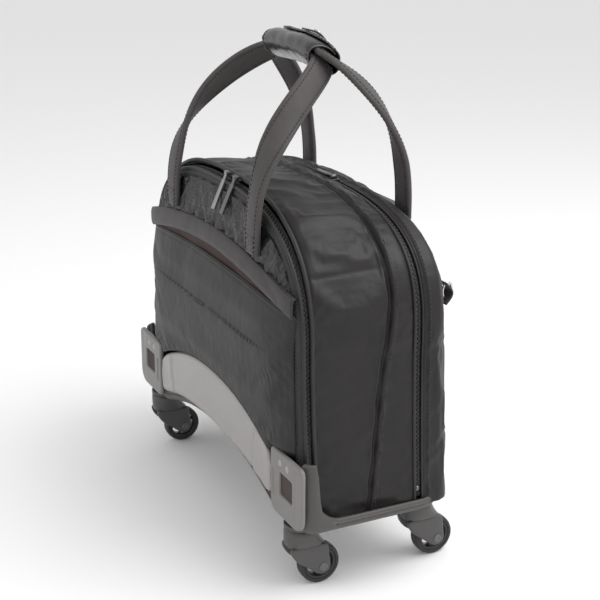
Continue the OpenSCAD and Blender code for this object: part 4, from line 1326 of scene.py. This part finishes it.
def make_plate():
    cols, rows = 220, 44
    u = np.linspace(-1, 1, cols)
    v = np.linspace(0, 1, rows)
    x = PLATE_HALF * u
    low = 84 + 23 * (1 - np.abs(u) ** 2.4)
    high = 168 - 38 * np.abs(u) ** 2.2
    middle, half = (low + high) / 2, (high - low) / 2
    # The ends are rounded like a D
    ends = (1 - np.clip((np.abs(u) - 0.90) / 0.10, 0, 1) ** 2.6) ** (1 / 2.6)
    half = half * (0.42 + 0.58 * ends)
    z = middle + half * (2 * v[:, None] - 1)
    xx = np.broadcast_to(x, z.shape).copy()
    ax = np.abs(xx)
    inset = np.minimum(half - np.abs(z - middle), PLATE_HALF - ax)
    roll = 1 - np.clip(inset / 5.0, 0, 1)
    y = -95.9 + 3.2 * roll ** 2.4
    y -= 0.9 * np.sin(np.pi * v[:, None]) ** 2
    crease = ax - (112 + 0.16 * (z - 110))
    y += 1.5 * ridge(crease, 0, 2.6) - 0.8 * ridge(crease, 8, 5.0)
    y -= 0.9 * ridge(inset, 7.5, 2.6) * 0.6
    grid = np.stack([xx, y, z], 2)
    n = np.broadcast_to(OUT_FRONT, grid.shape)
    skin("front_plate_finish", grid, n, "case", "satin_plate", 2.6, ("front_plate",))


# ---- Casters -----------------------------------------------------------------------------------
WHEEL_R, TRAIL = 21.7, 20.0
CASTERS = {"front_left": (-189.0, -79.0), "front_right": (189.0, -79.0),
           "rear_left": (-189.0, 54.8), "rear_right": (189.0, 54.8)}


def fork_rings(cx, cy):
    """A leg that starts round under the base and leans back into two cheeks over the wheel."""
    fine = 44
    turn = np.linspace(0, 2 * np.pi, fine, endpoint=False)
    rings = []
    for z, half_w, y0, y1, n in ((66.0, 15.0, -15.0, 15.0, 2.0), (65.4, 16.3, -16.3, 16.3, 2.0),
                                 (60, 16.5, -16.5, 17.0, 2.05), (54, 16.0, -16.2, 19.5, 2.3),
                                 (48.5, 14.8, -15.6, 23.0, 2.7), (46.4, 13.6, -15.0, 25.0, 3.0)):
        c, s = np.cos(turn), np.sin(turn)
        mid, reach = (y0 + y1) / 2, (y1 - y0) / 2
        rings.append(np.stack([cx + half_w * signed_power(c, n), cy + mid + reach * signed_power(s, n),
                               np.full(fine, z)], 1))
    return rings


def cheek(cx, cy, side):
    """One side of the fork: a tapered plate from the leg down round the axle."""
    outline = [(-15.5, 47.5), (-14.5, 41), (-9, 32), (4, 22.5), (11.4, 16.4), (14, 14.3), (18, 12.8),
               (22, 12.8), (26, 14.4), (28.4, 17.4), (29, 21.7), (28.2, 27), (27.2, 33), (26.6, 40),
               (25.6, 47.5)]
    path = np.array(outline + outline[:1], float)
    path = resample(path, 2.2)[:-1]
    for _ in range(3):
        path = (np.roll(path, 1, 0) + 2 * path + np.roll(path, -1, 0)) / 4
    middle = np.array([12.0, 32.0])
    rings = []
    for grow, depth in ((0.93, 8.3), (1.0, 8.6), (1.0, 11.3), (0.985, 12.2), (0.94, 12.9), (0.8, 13.4),
                        (0.4, 13.6)):
        p = middle + (path - middle) * grow
        rings.append(np.stack([np.full(len(p), cx + side * depth), cy + p[:, 0], p[:, 1]], 1))
    return loft(rings)


def make_casters():
    for tag, (cx, cy) in CASTERS.items():
        body, wheel = f"caster_{tag}", f"wheel_{tag}"
        parts = [loft(fork_rings(cx, cy)), cheek(cx, cy, 1), cheek(cx, cy, -1)]
        add_piece(f"fork_{tag}_finish", join(parts), body, "dark_plastic_soft", (f"fork_{tag}",))
        hub = np.array([cx, cy + TRAIL, WHEEL_R])
        caps = []
        for side in (-1, 1):
            way = np.array([side, 0, 0.0])
            caps.append(lathe(((0, 13.9), (1.6, 13.9), (2.0, 14.6), (3.4, 14.6), (4.2, 14.0), (4.4, 13.0),
                               (0, 12.6)), hub, way, 28))
        add_piece(f"axle_{tag}_caps", join(caps), body, "dark_metal")
        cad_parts[f"axle_{tag}"].data.materials.clear()
        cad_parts[f"axle_{tag}"].data.materials.append(MATERIALS["dark_metal"])
        # Wheel: rim, six tapered spokes and a hub, with a rounded tyre
        parts = []
        section = ((14.6, -6.0), (16.9, -6.6), (17.0, 0.0), (16.9, 6.6), (14.6, 6.0), (14.2, 0.0))
        parts.append(ring_of(section, hub, 56))
        boss = ((3.1, -6.4), (5.6, -6.4), (6.6, -5.4), (6.6, 5.4), (5.6, 6.4), (3.1, 6.4))
        parts.append(ring_of(boss, hub, 32))
        for k in range(6):
            a = k * math.pi / 3 + 0.3
            line = np.array([(0, r * math.cos(a), r * math.sin(a)) for r in np.linspace(5.6, 15.2, 8)]) + hub
            spoke_side = np.array([0, -math.sin(a), math.cos(a)])
            widths = np.interp(np.linspace(0, 1, 8), (0, 0.5, 1), (4.4, 2.6, 4.6))
            parts.append(ribbon(line, np.tile([spoke_side], (8, 1)), widths, 2.2, 2.0))
        add_piece(f"rim_{tag}_finish", join(parts), wheel, "rim_plastic", (f"rim_{tag}",))
        tyre = ring_of(((16.9, -6.9), (19.2, -7.2), (20.8, -6.3), (21.5, -4.2), (21.7, -1.2),
                        (21.35, -0.4), (21.35, 0.4), (21.7, 1.2), (21.5, 4.2), (20.8, 6.3), (19.2, 7.2),
                        (16.9, 6.9)), hub, 72)
        add_piece(f"tyre_{tag}_finish", tyre, wheel, "tyre", (f"tyre_{tag}",))


def ring_of(section, centre, sides):
    """A ring about the X axis; section is (radius, x) pairs."""
    turn = np.linspace(0, 2 * np.pi, sides, endpoint=False)
    rings = [np.array([(x, r * math.cos(a), r * math.sin(a)) for r, x in section]) + centre for a in turn]
    return loft(rings, closed=True)


# ---- Trolley handle, zip sliders and small hardware -------------------------------------------------
def make_hardware():
    soften("trolley_bezel", "case", "moulded_plastic", 1.6 * MM, 3)
    soften("trolley_foot", "case", "moulded_plastic", 1.6 * MM, 3)
    soften("trolley_grip", "trolley_stage_3", "dark_plastic", 2.0 * MM, 3)
    soften("grip_button", "trolley_button", "moulded_plastic", 0.7 * MM, 3)
    soften("outer_tubes", "case", "tube_metal", 0.2 * MM, 1)
    for stage in (1, 2, 3):
        soften(f"stage_{stage}_tubes", f"trolley_stage_{stage}", "tube_metal", 0.2 * MM, 1)
    soften("bezel_screws", "case", "bright_metal", 0.25 * MM)
    soften("mount_screws", "case", "bright_metal", 0.3 * MM)
    for tag in CASTERS:
        soften(f"mount_{tag}", "case", "dark_plastic_soft", 0.8 * MM)
    # Finger grooves under the trolley grip
    parts = []
    for k in range(9):
        x0 = -32 + 8 * k
        line = np.array([(x0, v, 349.2) for v in (79.6, 80.4, 81.4)])
        parts.append(ribbon(line, np.tile([[1.0, 0, 0]], (3, 1)), 2.4, 0.9))
    add_piece("trolley_grip_ridges", join(parts), "trolley_stage_3", "dark_plastic")
    for node, body, material in (("slider_front_left", "slider_left", "dark_metal"),
                                 ("slider_front_right", "slider_right", "dark_metal"),
                                 ("slider_rear", "slider_back", "dark_metal"),
                                 ("pull_front_left", "pull_left", "pull_metal"),
                                 ("pull_front_right", "pull_right", "dark_metal"),
                                 ("pull_rear", "pull_back", "dark_metal")):
        soften(node, body, material, 0.45 * MM, 2)


# ---- Inside of the case -----------------------------------------------------------------------------
def make_inside():
    soft = soften("floor_pad", "case", "lining_dark", 1.6 * MM, 3)
    sleeve = soften("laptop_sleeve", "case", "lining_dark", 1.2 * MM, 3)
    soften("organizer_pocket", "front_door", "lining_dark", 0.6 * MM, 2)
    low, high = (Vector(v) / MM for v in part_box("laptop_sleeve"))
    ring = [(low.x + 1.5, low.y + 1.5), (high.x - 1.5, low.y + 1.5), (high.x - 1.5, high.y - 1.5),
            (low.x + 1.5, high.y - 1.5)]
    path = resample(np.array([(px, py, high.z) for px, py in ring + ring[:1]]), 4.0)[:-1]
    add_piece("sleeve_binding", tube_loop(path, 2.0, np.array([0, 0, 1.0]), 8), "case", "strap_fabric")
    strap = np.array([(0, low.y - 1.2 - 3 * math.sin(math.pi * t) * 0.4, high.z - 70 + 66 * t)
                      for t in np.linspace(0, 1, 20)])
    shape = ribbon(strap, np.tile([[1.0, 0, 0]], (20, 1)), 26, 1.6)
    add_piece("sleeve_strap", shape, "case", "strap_fabric")
    low, high = (Vector(v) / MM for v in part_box("organizer_pocket"))
    edge = np.array([(px, high.y - 0.8, high.z) for px in np.linspace(low.x, high.x, 80)])
    add_piece("organizer_binding", tube(edge, 1.6, (0, 1, 0), 8), "front_door", "strap_fabric")
    for px in (-50, 50):
        line = np.array([(px, high.y + 0.1, z) for z in np.linspace(low.z + 4, high.z - 2, 40)])
        tag = "a" if px < 0 else "b"
        stitch_row(line, np.tile([[0, 1.0, 0]], (40, 1)), "front_door", f"organizer_stitches_{tag}")


add_camera()
add_studio()
make_gusset()
make_welts()
make_zips()
make_rear()
make_front()
make_quilt()
make_welt_band()
make_strap("front_strap_web", FRONT_FOOT, FRONT_OVER, 1, "front_handle", "front_strap")
make_strap("rear_strap_web", REAR_FOOT, REAR_OVER, -1, "rear_handle", "rear_strap")
make_wrap()
make_base()
make_guards()
make_plate()
make_casters()
make_hardware()
make_inside()
